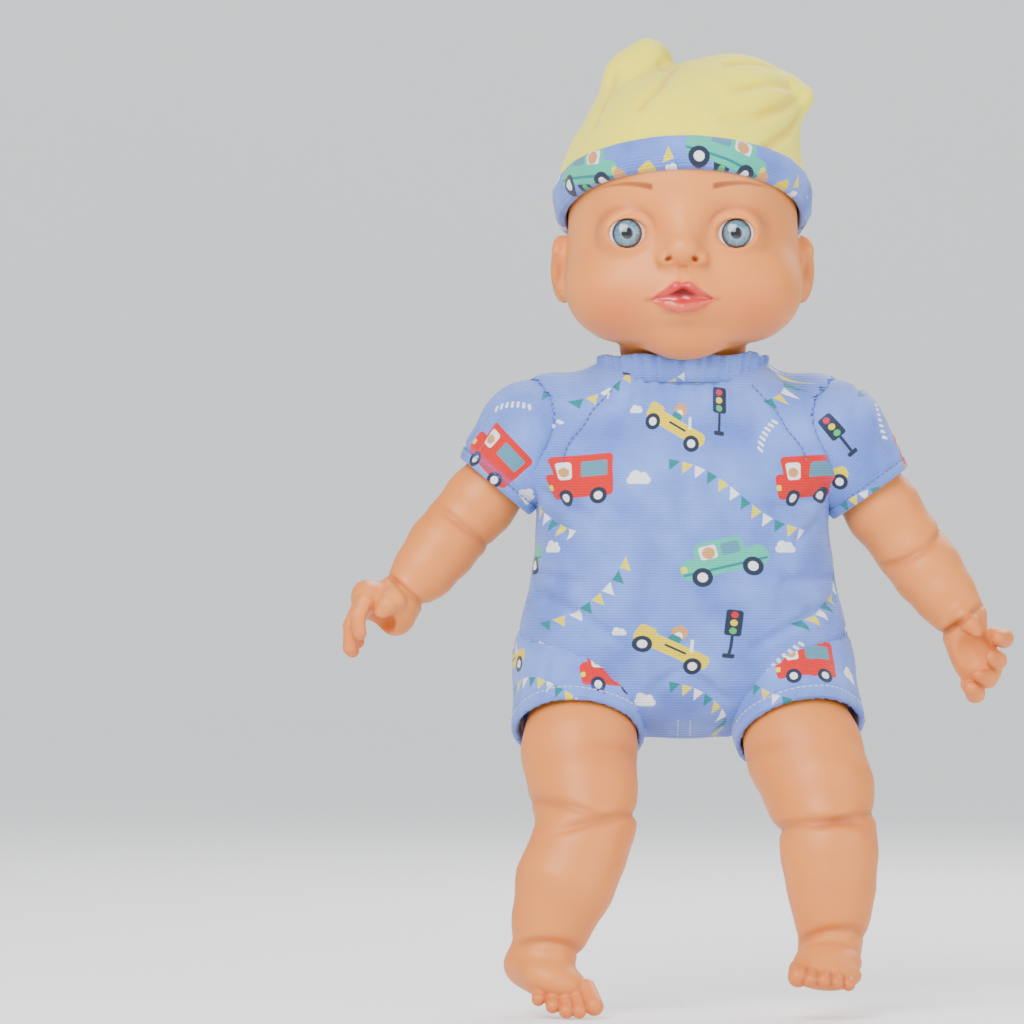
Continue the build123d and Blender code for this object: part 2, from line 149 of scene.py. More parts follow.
@dataclass
class Sculpt:
    """Clay built up, carved and creased step by step."""

    steps: list[tuple[str, Form, float, float]] = field(default_factory=list)

    def add(self, form: Form, melt: float = 0.0) -> "Sculpt":
        """Press more clay on, melted in over a width."""
        self.steps.append(("add", form, melt, form.size + melt + 6.0))
        return self

    def carve(self, form: Form, melt: float = 0.0) -> "Sculpt":
        """Take clay away."""
        self.steps.append(("carve", form, melt, form.size + melt + 6.0))
        return self

    def keep(self, form: Form, melt: float = 0.0) -> "Sculpt":
        """Cut off what lies outside a form."""
        self.steps.append(("keep", form, melt, 1e3))
        return self

    def sink(self, relief: Form) -> "Sculpt":
        """Push the whole surface in by a height that changes over it."""
        self.steps.append(("sink", relief, 0.0, 1e3))
        return self

    def crease(self, centre: Sequence[float], normal: Sequence[float], width: float, depth: float,
               toward: Sequence[float] = (0, 0, 0), reach: float = 30.0) -> "Sculpt":
        """Sink a soft line where a plane crosses the skin.

        Args:
            centre: A point of the plane, on the limb's middle line.
            normal: The plane's normal, along the limb.
            width: Half width of the line.
            depth: How deep it sinks.
            toward: Side of the limb where the line is deepest; zero for all round.
            reach: How far from the centre it acts.
        """
        n = np.array(normal, float)
        n /= np.linalg.norm(n)
        side = np.array(toward, float)
        c = np.array(centre, float)

        def sink(p: Points) -> np.ndarray:
            q = p - c
            line = np.exp(-((q @ n) / width) ** 2)
            far = np.linalg.norm(q, axis=1)
            if side.any():
                facing = (q @ (side / np.linalg.norm(side))) / np.maximum(far, 1e-6)
                line = line * smooth_step(facing, -0.35, 0.45)
            return depth * line * smooth_step(-far, -reach, -0.75 * reach)

        sink.middle, sink.size = c, reach
        self.steps.append(("sink", sink, 0.0, reach))
        return self

    def __call__(self, p: Points) -> np.ndarray:
        """Signed distance of the finished form."""
        d = np.full(len(p), 1e3)
        for kind, form, melt, reach in self.steps:
            near = ((p - getattr(form, "middle", np.zeros(3))) ** 2).sum(1) < reach * reach
            if kind == "add" and (d > 900).any():
                near[:] = True
            q, here = p[near], d[near]
            if kind == "add":
                here = melted(here, form(q), melt)
            elif kind == "carve":
                here = -melted(-here, form(q), melt)
            elif kind == "keep":
                here = -melted(-here, -form(q), melt)
            else:
                here = here + form(q)
            d[near] = here
        return d


def graded_axis(low: float, high: float, coarse: float, fine: float = 1.0,
                *bands: tuple[float, float]) -> Points:
    """Grid lines from low to high, closer together inside the bands."""
    values = [low]
    while values[-1] < high:
        inside = any(a <= values[-1] <= b for a, b in bands)
        values.append(values[-1] + (fine if inside else coarse))
    return np.array(values)


BLOCK = 4  # grid cells along one side of a block that is sampled or skipped as a whole
FAR_SIDE = 9.0  # distance written where nothing is worked out, in millimetres


def sample(form: Form, axes: list[Points]) -> np.ndarray:
    """The form's distance on a grid, worked out only in blocks near its surface."""
    picks = [np.unique(np.append(np.arange(0, len(a), BLOCK), len(a) - 1)) for a in axes]
    coarse_axes = [a[k] for a, k in zip(axes, picks)]
    mesh = np.stack(np.meshgrid(*coarse_axes, indexing="ij"), -1)
    rough = form(mesh.reshape(-1, 3)).reshape(mesh.shape[:3])
    corners = [rough[i:rough.shape[0] - 1 + i, j:rough.shape[1] - 1 + j, k:rough.shape[2] - 1 + k]
               for i in (0, 1) for j in (0, 1) for k in (0, 1)]
    nearest = np.min(np.abs(corners), axis=0)
    spans = np.meshgrid(*[np.diff(a) for a in coarse_axes], indexing="ij")
    live = nearest < 1.25 * np.sqrt(sum(s * s for s in spans))

    def owners(shift: Sequence[int]) -> tuple[np.ndarray, ...]:
        """Block that each grid line belongs to when the lines are moved down by a shift."""
        return np.ix_(*[np.clip(np.searchsorted(k, np.arange(len(a)) - s, "right") - 1, 0, len(k) - 2)
                        for a, k, s in zip(axes, picks, shift)])

    values = np.where(rough[:-1, :-1, :-1] < 0, -FAR_SIDE, FAR_SIDE)[owners((0, 0, 0))]
    need = np.zeros(values.shape, bool)
    for shift in np.ndindex(2, 2, 2):
        need |= live[owners(shift)]
    i, j, k = np.nonzero(need)
    values[i, j, k] = form(np.stack([axes[0][i], axes[1][j], axes[2][k]], 1))
    return values


def skin_of(form: Form, axes: list[Points], settle: int = 2) -> tuple[Points, np.ndarray]:
    """Surface net of a form: one point in each cell that its surface crosses, joined by four-sided faces.

    Args:
        form: Signed distance, negative inside.
        axes: Grid lines along X, Y and Z.
        settle: How often the points are moved on to the surface itself.

    Returns:
        The points, and the faces as rows of four point numbers.
    """
    f = sample(form, axes)
    inside = f < 0
    cut = [slice(0, -1), slice(1, None)]
    count = sum(inside[cut[a], cut[b], cut[c]].astype(np.int8) for a, b, c in np.ndindex(2, 2, 2))
    mixed = (count > 0) & (count < 8)
    number = np.full(mixed.shape, -1, np.int64)
    cells = np.stack(np.nonzero(mixed), 1)
    number[mixed] = np.arange(len(cells))
    total, hits = np.zeros((len(cells), 3)), np.zeros(len(cells))
    lines = list(np.ndindex(2, 2, 2))
    for a in lines:
        for axis in range(3):
            if a[axis]:
                continue
            b = tuple(v + (n == axis) for n, v in enumerate(a))
            ia, ib = cells + a, cells + b
            fa, fb = f[tuple(ia.T)], f[tuple(ib.T)]
            cross = (fa < 0) != (fb < 0)
            t = np.where(cross, fa / np.where(cross, fa - fb, 1.0), 0.0)[:, None]
            pa = np.stack([axes[n][ia[:, n]] for n in range(3)], 1)
            pb = np.stack([axes[n][ib[:, n]] for n in range(3)], 1)
            total += (pa + t * (pb - pa)) * cross[:, None]
            hits += cross
    points = total / hits[:, None]
    faces = []
    for axis in range(3):
        one, two = [n for n in range(3) if n != axis]
        low = [slice(None)] * 3
        high = [slice(None)] * 3
        low[axis], high[axis] = slice(0, -1), slice(1, None)
        change = inside[tuple(low)] != inside[tuple(high)]
        idx = np.stack(np.nonzero(change), 1)
        shape = np.array(mixed.shape)
        held = (idx[:, one] > 0) & (idx[:, two] > 0) & (idx[:, one] < shape[one]) & (idx[:, two] < shape[two])
        idx = idx[held]
        ring = []
        for du, dv in ((1, 1), (0, 1), (0, 0), (1, 0)):
            cell = idx.copy()
            cell[:, one] -= du
            cell[:, two] -= dv
            ring.append(number[tuple(cell.T)])
        quad = np.stack(ring, 1)
        outward = inside[tuple(idx.T)] if axis != 1 else ~inside[tuple(idx.T)]
        faces.append(np.where(outward[:, None], quad, quad[:, ::-1]))
    for _ in range(settle):
        value = form(points)
        step = 0.04
        slope = np.stack([form(points + np.eye(3)[n] * step) - value for n in range(3)], 1) / step
        move = value[:, None] * slope / np.maximum((slope**2).sum(1), 0.2)[:, None]
        length = np.linalg.norm(move, axis=1, keepdims=True)
        points = points - move * np.minimum(1.0, 0.6 / np.maximum(length, 1e-9))
    return points, np.concatenate(faces)


# ---------------------------------------------------------------- meshes
def new_piece(name: str, points: Points, faces: Sequence) -> bpy.types.Object:
    """A mesh object from doll-millimetre points, at the origin."""
    mesh = bpy.data.meshes.new(name)
    mesh.from_pydata(metres(points).tolist(), [], [list(map(int, f)) for f in faces])
    mesh.validate()
    mesh.polygons.foreach_set("use_smooth", [True] * len(mesh.polygons))
    piece = bpy.data.objects.new(name, mesh)
    bpy.context.scene.collection.objects.link(piece)
    return piece


def ring_faces(rows: int, count: int, closed: bool = False) -> list[tuple[int, int, int, int]]:
    """Four-sided faces between rings of points; closed also joins the last ring to the first."""
    faces = []
    for row in range(rows if closed else rows - 1):
        here, above = row * count, (row + 1) % rows * count
        for k in range(count):
            after = (k + 1) % count
            faces.append((here + k, here + after, above + after, above + k))
    return faces


def facing_out(piece: bpy.types.Object) -> None:
    """Turn every face of a closed mesh outwards."""
    clay = bmesh.new()
    clay.from_mesh(piece.data)
    bmesh.ops.recalc_face_normals(clay, faces=clay.faces)
    clay.to_mesh(piece.data)
    clay.free()


def paint(piece: bpy.types.Object, **masks: np.ndarray) -> None:
    """Keep named numbers for each point of a piece, for its material to read."""
    for name, values in masks.items():
        layer = piece.data.attributes.new(name, "FLOAT", "POINT")
        layer.data.foreach_set("value", np.asarray(values, np.float32))


# ---------------------------------------------------------------- finishes
class Paper:
    """A drawing board for shader nodes: each call places one node and gives its output."""

    def __init__(self, tree: bpy.types.NodeTree) -> None:
        """Start on a material's or a group's empty tree."""
        self.tree = tree

    def node(self, kind: str, inputs: dict | None = None, **settings: object) -> bpy.types.Node:
        """Place a node; inputs are plain values or other nodes' outputs."""
        made = self.tree.nodes.new(kind)
        for name, value in settings.items():
            setattr(made, name, value)
        for key, value in (inputs or {}).items():
            self.feed(made.inputs[key], value)
        return made

    def feed(self, socket: bpy.types.NodeSocket, value: object) -> None:
        """Link an output to a socket, or set the socket's own value."""
        if isinstance(value, bpy.types.NodeSocket):
            self.tree.links.new(value, socket)
        elif isinstance(value, (tuple, list)) and len(value) == 3 and len(socket.default_value) == 4:
            socket.default_value = (*value, 1.0)
        else:
            socket.default_value = value

    def math(self, operation: str, a: object, b: object = 0.0, clamp: bool = False) -> object:
        """One number from one or two; a comparison counts as equal within a half."""
        inputs = {0: a, 1: b, 2: 0.5}
        return self.node("ShaderNodeMath", inputs, operation=operation, use_clamp=clamp).outputs[0]

    def vector(self, operation: str, a: object, b: object = (0, 0, 0), result: int = 0) -> object:
        """One vector, or with result 1 one number, from two vectors."""
        made = self.node("ShaderNodeVectorMath", {0: a}, operation=operation)
        if operation == "SCALE":
            self.feed(made.inputs["Scale"], b)
        elif len([s for s in made.inputs if s.enabled]) > 1:
            self.feed(made.inputs[1], b)
        return made.outputs[result]

    def turned(self, vector: object, angle: object) -> object:
        """A vector turned about Z by an angle in radians."""
        inputs = {"Vector": vector, "Angle": angle}
        return self.node("ShaderNodeVectorRotate", inputs, rotation_type="Z_AXIS").outputs[0]

    def mix(self, amount: object, a: object, b: object) -> object:
        """Colour between a and b."""
        made = self.node("ShaderNodeMix", data_type="RGBA")
        self.feed(made.inputs[0], amount)
        self.feed(made.inputs[6], a)
        self.feed(made.inputs[7], b)
        return made.outputs[2]

    def coat(self, shader: bpy.types.Node, colour: object, roughness: object, normal: object = None) -> None:
        """Link a shader's colour, roughness and, if there is one, normal."""
        self.feed(shader.inputs["Base Color"], colour)
        self.feed(shader.inputs["Roughness"], roughness)
        if normal is not None:
            self.feed(shader.inputs["Normal"], normal)

    def noise(self, vector: object, scale: float, detail: float = 2.0) -> object:
        """Grey cloud pattern about 0.5."""
        inputs = {"Vector": vector, "Scale": scale, "Detail": detail}
        return self.node("ShaderNodeTexNoise", inputs).outputs["Fac"]

    def bump(self, height: object, distance: object, strength: float) -> object:
        """Normal of a height pattern."""
        inputs = {"Height": height, "Distance": distance, "Strength": strength}
        return self.node("ShaderNodeBump", inputs).outputs[0]

    def ramp(self, value: object, low: float, high: float, bottom: float = 0.0, top: float = 1.0) -> object:
        """Number moved from one range to another, held at its ends."""
        inputs = {"Value": value, "From Min": low, "From Max": high, "To Min": bottom, "To Max": top}
        return self.node("ShaderNodeMapRange", inputs, clamp=True).outputs[0]

    def group(self, tree: bpy.types.NodeTree, **inputs: object) -> bpy.types.bpy_prop_collection:
        """Outputs of a node group, with its inputs set or linked."""
        return self.node("ShaderNodeGroup", inputs, node_tree=tree).outputs

    def place(self) -> object:
        """Object coordinates."""
        return self.node("ShaderNodeTexCoord").outputs["Object"]

    def mask(self, name: str) -> object:
        """A number painted on the mesh."""
        return self.node("ShaderNodeAttribute", attribute_name=name).outputs["Fac"]


def new_group(name: str, inputs: dict[str, object],
              outputs: Sequence[str]) -> tuple[bpy.types.NodeTree, Paper]:
    """A shader group with named sockets.

    Args:
        name: The group's name.
        inputs: Each input's starting value; a number or a vector of three.
        outputs: Output names; Normal carries a vector and any other a number.

    Returns:
        The group, and a drawing board on it.
    """
    group = bpy.data.node_groups.new(name, "ShaderNodeTree")
    for key, value in inputs.items():
        kind = "NodeSocketVector" if isinstance(value, tuple) else "NodeSocketFloat"
        socket = group.interface.new_socket(key, in_out="INPUT", socket_type=kind)
        socket.default_value = value
    for key in outputs:
        kind = "NodeSocketVector" if key == "Normal" else "NodeSocketFloat"
        group.interface.new_socket(key, in_out="OUTPUT", socket_type=kind)
    return group, Paper(group)


@dataclass(frozen=True)
class Gloss:
    """Numbers set on a shader's own sockets."""

    roughness: float = 0.5
    metallic: float = 0.0
    specular: float = 0.5
    coat: float = 0.0
    sheen: float = 0.0
    scatter: float = 0.0


def dressed(name: str, gloss: Gloss) -> tuple[bpy.types.Material, Paper, bpy.types.Node]:
    """A material with one Principled shader whose plain sockets are set.

    Returns:
        The material, its drawing board and its shader.
    """
    material = bpy.data.materials.new(name)
    material.use_nodes = True
    material.node_tree.nodes.clear()
    paper = Paper(material.node_tree)
    shader = paper.node("ShaderNodeBsdfPrincipled", {
        "Roughness": gloss.roughness, "Metallic": gloss.metallic, "Specular IOR Level": gloss.specular,
        "Coat Weight": gloss.coat, "Coat Roughness": 0.12, "Sheen Weight": gloss.sheen,
        "Sheen Roughness": 0.5, "Subsurface Weight": gloss.scatter, "IOR": 1.45,
    })
    shader.inputs["Subsurface Radius"].default_value = (1.0, 0.45, 0.25)
    shader.inputs["Subsurface Scale"].default_value = 0.004
    paper.node("ShaderNodeOutputMaterial", {0: shader.outputs[0]})
    return material, paper, shader


class Shared:
    """Node groups that several finishes use, built once."""

    def __init__(self) -> None:
        """Build each group."""
        self.grain = self.make_grain()
        self.wear = self.make_wear()
        self.rib = self.make_rib()
        self.weave = self.make_weave()

    @staticmethod
    def make_grain() -> bpy.types.NodeTree:
        """Moulded skin: a fine pebble and a slow wave, as a normal and a shade."""
        group, paper = new_group("moulded_grain", {"Scale": 900.0, "Depth": 0.00002}, ("Shade", "Normal"))
        inside = paper.node("NodeGroupInput").outputs
        place = paper.place()
        fine = paper.noise(place, inside["Scale"], 3.0)
        slow = paper.noise(place, 38.0, 1.0)
        height = paper.math("ADD", fine, paper.math("MULTIPLY", slow, 2.0))
        normal = paper.bump(height, inside["Depth"], 0.6)
        paper.node("NodeGroupOutput", {"Shade": paper.ramp(slow, 0.3, 0.7), "Normal": normal})
        return group

    @staticmethod
    def make_wear() -> bpy.types.NodeTree:
        """Handling marks: a roughness that wanders and a few dull smudges."""
        group, paper = new_group("handling_wear", {"Base": 0.5, "Spread": 0.1}, ("Roughness",))
        inside = paper.node("NodeGroupInput").outputs
        cloud = paper.noise(paper.place(), 70.0, 4.0)
        shift = paper.math("MULTIPLY", paper.math("SUBTRACT", cloud, 0.5), inside["Spread"])
        paper.node("NodeGroupOutput", {"Roughness": paper.math("ADD", inside["Base"], shift, clamp=True)})
        return group

    @staticmethod
    def make_rib() -> bpy.types.NodeTree:
        """Rib knit on cloth coordinates: rows along U with a loop pattern, as shade and normal."""
        group, paper = new_group("rib_knit", {"Place": (0.0, 0.0, 0.0), "Pitch": 0.9, "Depth": 0.00012},
                                 ("Shade", "Normal"))
        inside = paper.node("NodeGroupInput").outputs
        parts = paper.node("ShaderNodeSeparateXYZ", {0: inside["Place"]}).outputs
        turn = paper.math("DIVIDE", 2.0 * math.pi, inside["Pitch"])
        rows = paper.math("SINE", paper.math("MULTIPLY", parts[1], turn))
        loops = paper.math("SINE", paper.math("MULTIPLY", parts[0], paper.math("MULTIPLY", turn, 1.6)))
        wobble = paper.noise(paper.place(), 260.0, 2.0)
        height = paper.math("ADD", rows, paper.math("MULTIPLY", loops, 0.35))
        height = paper.math("ADD", height, paper.math("MULTIPLY", wobble, 0.8))
        normal = paper.bump(height, inside["Depth"], 0.7)
        paper.node("NodeGroupOutput", {"Shade": paper.ramp(height, -1.2, 1.8), "Normal": normal})
        return group

    @staticmethod
    def make_weave() -> bpy.types.NodeTree:
        """Plain weave or fibre on object coordinates."""
        group, paper = new_group("plain_weave", {"Pitch": 0.0006, "Depth": 0.00006}, ("Shade", "Normal"))
        inside = paper.node("NodeGroupInput").outputs
        turn = paper.math("DIVIDE", 2.0 * math.pi, inside["Pitch"])
        parts = paper.node("ShaderNodeSeparateXYZ", {0: paper.place()}).outputs
        waves = [paper.math("SINE", paper.math("MULTIPLY", part, turn)) for part in parts]
        crossing = paper.math("MULTIPLY", waves[0], waves[2])
        height = paper.math("ADD", crossing, paper.math("MULTIPLY", waves[1], 0.5))
        normal = paper.bump(height, inside["Depth"], 0.6)
        paper.node("NodeGroupOutput", {"Shade": paper.ramp(height, -1.0, 1.0), "Normal": normal})
        return group


SHARED = Shared()


@dataclass(frozen=True)
class VinylFinish:
    """Peach vinyl with sprayed blush, brows and lips, and painted shade in creases and hollows, read from
    painted numbers.
    """

    name: str
    skin: Colour = (0.77, 0.245, 0.048)
    pale: Colour = (0.83, 0.29, 0.066)
    blush: Colour = (0.67, 0.14, 0.032)
    # fold: painted shade for creases, nostrils, ear hollows, lid lines and the gaps between fingers and toes.
    fold: Colour = (0.40, 0.095, 0.028)
    brow: Colour = (0.30, 0.055, 0.010)
    lip: Colour = (0.60, 0.022, 0.028)
    # inner: the mouth's own dark red inside, made darker as painted shade deep in the opening.
    inner: Colour = (0.15, 0.003, 0.004)

    def build(self) -> bpy.types.Material:
        """Make the material."""
        material, paper, shader = dressed(self.name, Gloss(0.42, specular=0.4, scatter=0.12))
        grain = paper.group(SHARED.grain)
        colour = paper.mix(grain["Shade"], self.skin, self.pale)
        layers = (("blush", self.blush), ("fold", self.fold), ("brow", self.brow), ("lip", self.lip),
                  ("inner", self.inner))
        # The fold layer lays painted shade; the inner layer is partly painted shade.
        for mask, paint_colour in layers:
            colour = paper.mix(paper.mask(mask), colour, paint_colour)
        wear = paper.group(SHARED.wear, Base=0.43, Spread=0.16)[0]
        wet = paper.math("MULTIPLY", paper.mask("wet"), 0.3)
        paper.feed(shader.inputs["Coat Weight"], paper.mask("wet"))
        paper.coat(shader, colour, paper.math("SUBTRACT", wear, wet, clamp=True), grain["Normal"])
        return material


# ---------------------------------------------------------------- head
@dataclass
class Head:
    """Hollow vinyl head: skull, full cheeks, button nose, parted lips, lids and ears."""

    eye_x: tuple[float, float] = (-20.9, 18.2)
    eye_z: float = 279.7
    ball: float = 8.9
    ball_y: float = -35.6
    opening: tuple[float, float] = (8.8, 6.25)
    neck_bottom: float = 236.2
    upper_lip: tuple = (
        (-12.9, -43.4, 255.9), (-8.2, -46.4, 257.9), (-3.5, -48.7, 260.2), (-1.0, -49.0, 259.8),
        (1.7, -48.7, 260.2), (6.4, -46.5, 258.1), (10.3, -43.6, 256.2))
    lower_lip: tuple = (
        (-10.8, -44.4, 255.2), (-6.4, -47.1, 253.5), (-1.0, -48.6, 252.6), (4.4, -47.2, 253.6),
        (8.9, -44.6, 255.4))

    def form(self) -> Sculpt:
        """Sculpt the whole head."""
        clay = Sculpt()
        clay.add(Ball((0, -1, 289), (41.6, 45.5, 47.5)))
        clay.add(Ball((0, -9, 262.3), (41.7, 37.0, 25.3)), 14)
        clay.add(Ball((0, -15, 302), (31, 30, 22)), 12)
        clay.add(Limb(((0, 1, 226), (0, -1, 256)), (22.0, 23.0)), 5)
        clay.add(Ball((0, -31, 243.5), (14, 10.5, 8.5)), 9)
        for s in (-1, 1):
            clay.add(Ball((s * 21.5, -23.5, 258.5), (19.5, 21.0, 16.0)), 9)
            self.model_ear(clay, s)
        self.model_eyes(clay)
        self.model_nose(clay)
        self.model_mouth(clay)
        clay.crease((0, -1, 240.5), (0, 0, 1), 1.3, 0.8, reach=40)
        clay.carve(Ball((0, 0, self.neck_bottom - 60), (90, 90, 60)))
        return clay

    def model_eyes(self, clay: Sculpt) -> None:
        """Hollows, lids and the openings for the eyes."""
        for s, x in zip((-1, 1), self.eye_x):
            z = self.eye_z
            clay.carve(Ball((x * 1.04, -52.5, z + 0.5), (11.5, 10.0, 9.0)), 7)
            clay.add(Ball((x, self.ball_y, z), (10.7, 10.4, 10.3)), 3.5)
            rough = [(x + 9.6 * math.cos(a), -46.0, z + 0.4 + 7.9 * math.sin(a))
                     for a in np.linspace(0.5, 2.64, 9)]
            crease = tuple(map(tuple, on_surface(clay, rough, 0.1)))
            clay.carve(Limb(crease, (0.05, 0.1, 0.15, 0.2, 0.2, 0.2, 0.15, 0.1, 0.05)), 1.3)
            clay.carve(Ball((x, -48.0, z - 0.2), (self.opening[0], 8.5, self.opening[1])), 0.5)
            clay.carve(Ball((x, self.ball_y, z), (self.ball + 0.15,) * 3))

    def model_nose(self, clay: Sculpt) -> None:
        """Soft bridge, round tip, wings and nostrils."""
        clay.add(Limb(((-0.8, -42.5, 286), (-1.2, -49.6, 274.6)), (3.0, 4.6)), 8)
        clay.add(Ball((-1.3, -50.6, 273.2), (5.4, 4.9, 4.3)), 3)
        for s in (-1, 1):
            clay.add(Ball((-1.1 + s * 6.3, -47.6, 270.3), (2.9, 4.2, 2.9)), 2.2)
            clay.carve(Ball((-1.6 + s * 4.7, -51.8, 270.1), (1.15, 2.8, 0.75), lean=s * 25), 1.5)

    def model_mouth(self, clay: Sculpt) -> None:
        """Muzzle, lips, parted mouth, tongue, philtrum and the dimple under the lip."""
        clay.add(Ball((-1.2, -37.3, 257.4), (15, 10.0, 10.5)), 8)
        clay.carve(Limb(((-1.3, -48.8, 267.2), (-1.1, -49.8, 263.4)), (0.7, 0.8)), 2.2)
        clay.add(Limb(self.upper_lip, (0.5, 1.3, 1.9, 1.7, 1.9, 1.3, 0.5), 0.8), 1.8)
        clay.add(Limb(self.lower_lip, (0.5, 1.8, 2.2, 1.8, 0.5), 1.0), 2.2)
        gap = ((-12.2, -46.0, 255.8), (-5.0, -50.2, 256.7), (-1.0, -50.6, 257.6), (3.0, -50.2, 256.8),
               (9.8, -46.2, 256.1))
        clay.carve(Limb(gap, (0.2, 1.25, 2.3, 1.25, 0.2), 1.0), 0.7)
        clay.add(Ball((-1.0, -44.4, 254.6), (6.8, 3.9, 2.5)), 0.6)
        dimple = ((-7.5, -47.6, 247.9), (-1.0, -49.4, 247.0), (5.5, -47.6, 247.9))
        clay.carve(Limb(dimple, (0.8, 1.4, 0.8)), 3.5)

    @staticmethod
    def model_ear(clay: Sculpt, s: int) -> None:
        """One ear: rim, bowl and lobe."""
        clay.add(Ball((s * 43.2, 2.5, 268.0), (4.8, 5.5, 12.2)), 2.5)
        edge = ((41.5, -2.5, 258), (44.4, -3.4, 262), (46.3, -2.8, 269), (45.6, -0.6, 276.0),
                (44.4, 5.0, 278.0), (45.4, 9.0, 270), (43.6, 4.5, 258.8))
        rim = curve_through([(s * x, y, z) for x, y, z in edge], 22)
        clay.add(Limb(tuple(map(tuple, rim)), (1.75,) * 22, 0.8), 1.8)
        clay.carve(Ball((s * 46.9, -4.6, 268.5), (2.2, 3.6, 6.0)), 1.8)

    def masks(self, p: Points) -> dict[str, np.ndarray]:
        """Sprayed colour of each point, from 0 to 1; fold is painted shade in creases and hollows, and inner
        is partly painted shade in the mouth.
        """
        front = smooth_step(-p[:, 1], 18, 34)
        x, z = p[:, 0], p[:, 2]
        blush = sum(np.exp(-(((x - s * 24.5) / 13.0) ** 2 + ((z - 252.5) / 9.5) ** 2)) for s in (-1, 1))
        blush = 0.62 * blush * front + 0.34 * np.exp(-((x / 12) ** 2 + ((z - 241) / 5.0) ** 2)) * front
        blush += 0.35 * sum(np.exp(-(((x - s * 48.5) / 4.5) ** 2 + ((z - 267) / 8) ** 2)) for s in (-1, 1))
        # fold: painted shade along the upper lid line (with a painted lash line in it), in the nostrils and
        # ear hollows, beside the nose wings, in the dip under the lip and at the mouth corners.
        fold = np.zeros(len(p))
        for x0 in self.eye_x:
            up = z - self.eye_z
            ring = np.hypot((x - x0) / (self.opening[0] + 1.2), (up - 0.6) / (self.opening[1] + 2.6))
            fold += 0.42 * np.exp(-((ring - 1.0) / 0.13) ** 2) * front * smooth_step(up, -1, 4)
            socket = np.hypot((x - x0) / 12.0, (z - self.eye_z - 2.0) / 8.6)
            blush += 0.24 * np.exp(-((socket - 0.9) / 0.35) ** 2) * front
        nostrils = np.zeros(len(p))
        for s in (-1, 1):
            near = Ball((-1.6 + s * 4.7, -51.0, 270.1), (1.1, 3.0, 0.7), lean=s * 25)(p)
            nostrils = np.maximum(nostrils, smooth_step(-near, -0.9, 0.4))
        fold += 0.65 * nostrils
        ears = np.exp(-(((np.abs(x) - 45.2) / 1.5) ** 2 + ((z - 267.5) / 4.6) ** 2))
        fold += 0.55 * ears * smooth_step(-p[:, 1], -1.0, 2.5)
        fold += 0.35 * np.exp(-(((x + 1.0) / 8.5) ** 2 + ((z - 247.3) / 1.6) ** 2)) * front
        fold += 0.35 * np.exp(-(((np.abs(x + 1.1) - 8.6) / 1.4) ** 2 + ((z - 267.6) / 1.8) ** 2)) * front
        for corner_x, corner_z in ((-13.4, 255.7), (10.8, 256.0)):
            fold += 0.7 * np.exp(-(((x - corner_x) / 1.7) ** 2 + ((z - corner_z) / 0.9) ** 2)) * front
        upper, gape, lower = self.mouth(x, z)
        lip = np.clip((0.95 * upper + 0.72 * lower) * front, 0, 1)
        mouth = gape * front
        # deep: the dark red inside of the mouth, darkened as painted shade where the opening is deepest.
        deep = mouth * np.exp(-(((x + 1.2) / 5.2) ** 4 + ((z - 258.6) / 1.9) ** 4))
        tongue = mouth * smooth_step(-z, -257.4, -255.8)
        brow = self.brow(x, z) * front
        return {"blush": np.clip(blush, 0, 1), "fold": np.clip(fold, 0, 1), "brow": brow,
                "lip": np.clip(np.maximum(lip, mouth), 0, 1), "inner": np.clip(deep, 0, 1),
                "wet": np.clip(0.3 * lip + tongue, 0, 0.9)}

    @staticmethod
    def mouth(x: np.ndarray, z: np.ndarray) -> tuple[np.ndarray, np.ndarray, np.ndarray]:
        """Upper lip, parted mouth and lower lip, each from 0 to 1, by place on the face."""
        t = np.abs(x + 1.2) / 11.9
        top = 262.2 - 8.2 * np.maximum(t - 0.22, 0) - 0.5 * np.exp(-((t / 0.1) ** 2))
        parted = 259.7 - 5.4 * t + 1.5 * t * t
        floor = 254.0 + 1.8 * np.minimum(t, 1.2) ** 1.5
        bottom = 250.8 + 4.9 * np.minimum(t, 1.2) ** 2.2
        upper = smooth_step(top - z, -0.3, 0.35) * smooth_step(z - parted, -0.25, 0.25)
        gape = smooth_step(parted - z, -0.25, 0.25) * smooth_step(z - floor, -0.3, 0.3)
        lower = smooth_step(floor - z, -0.3, 0.3) * smooth_step(z - bottom, -0.4, 0.5)
        ends = smooth_step(-t, -1.04, -0.95)
        return upper * ends, gape * ends, lower * ends

    @staticmethod
    def brow(x: np.ndarray, z: np.ndarray) -> np.ndarray:
        """Sprayed brows: thick by the nose, thinning outwards along a low arch."""
        total = np.zeros(len(x))
        for s, inner, outer, height in ((-1, 11.6, 31.5, 295.9), (1, 9.4, 31.0, 296.2)):
            t = (s * x - inner) / (outer - inner)
            held = np.clip(t, 0, 1)
            arch = height + 1.7 * np.sin(held * math.pi * 0.93) - 0.6 * t
            half = 1.05 * (1.0 - held) ** 0.8 + 0.1
            ends = smooth_step(t, -0.02, 0.05) * smooth_step(-t, -1.0, -0.8)
            total += smooth_step(half - np.abs(z - arch), -0.35, 0.35) * ends * (0.95 - 0.45 * held)
        return np.clip(total, 0, 1)

    def build(self) -> None:
        """Make the head's skin."""
        axes = [graded_axis(-53, 53, 1.5, 0.5, (-31, 30)), graded_axis(-58, 49, 1.5, 0.8, (-56, -36)),
                graded_axis(234, 340, 1.5, 0.5, (246, 300))]
        points, faces = skin_of(self.form(), axes)
        skin = new_piece("head_skin", points, faces)
        paint(skin, **self.masks(points))
        skin.data.materials.append(VinylFinish("face_vinyl").build())
        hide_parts("head_shell")
        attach(skin, "head")
        LOG.info("head skin: %d points", len(points))


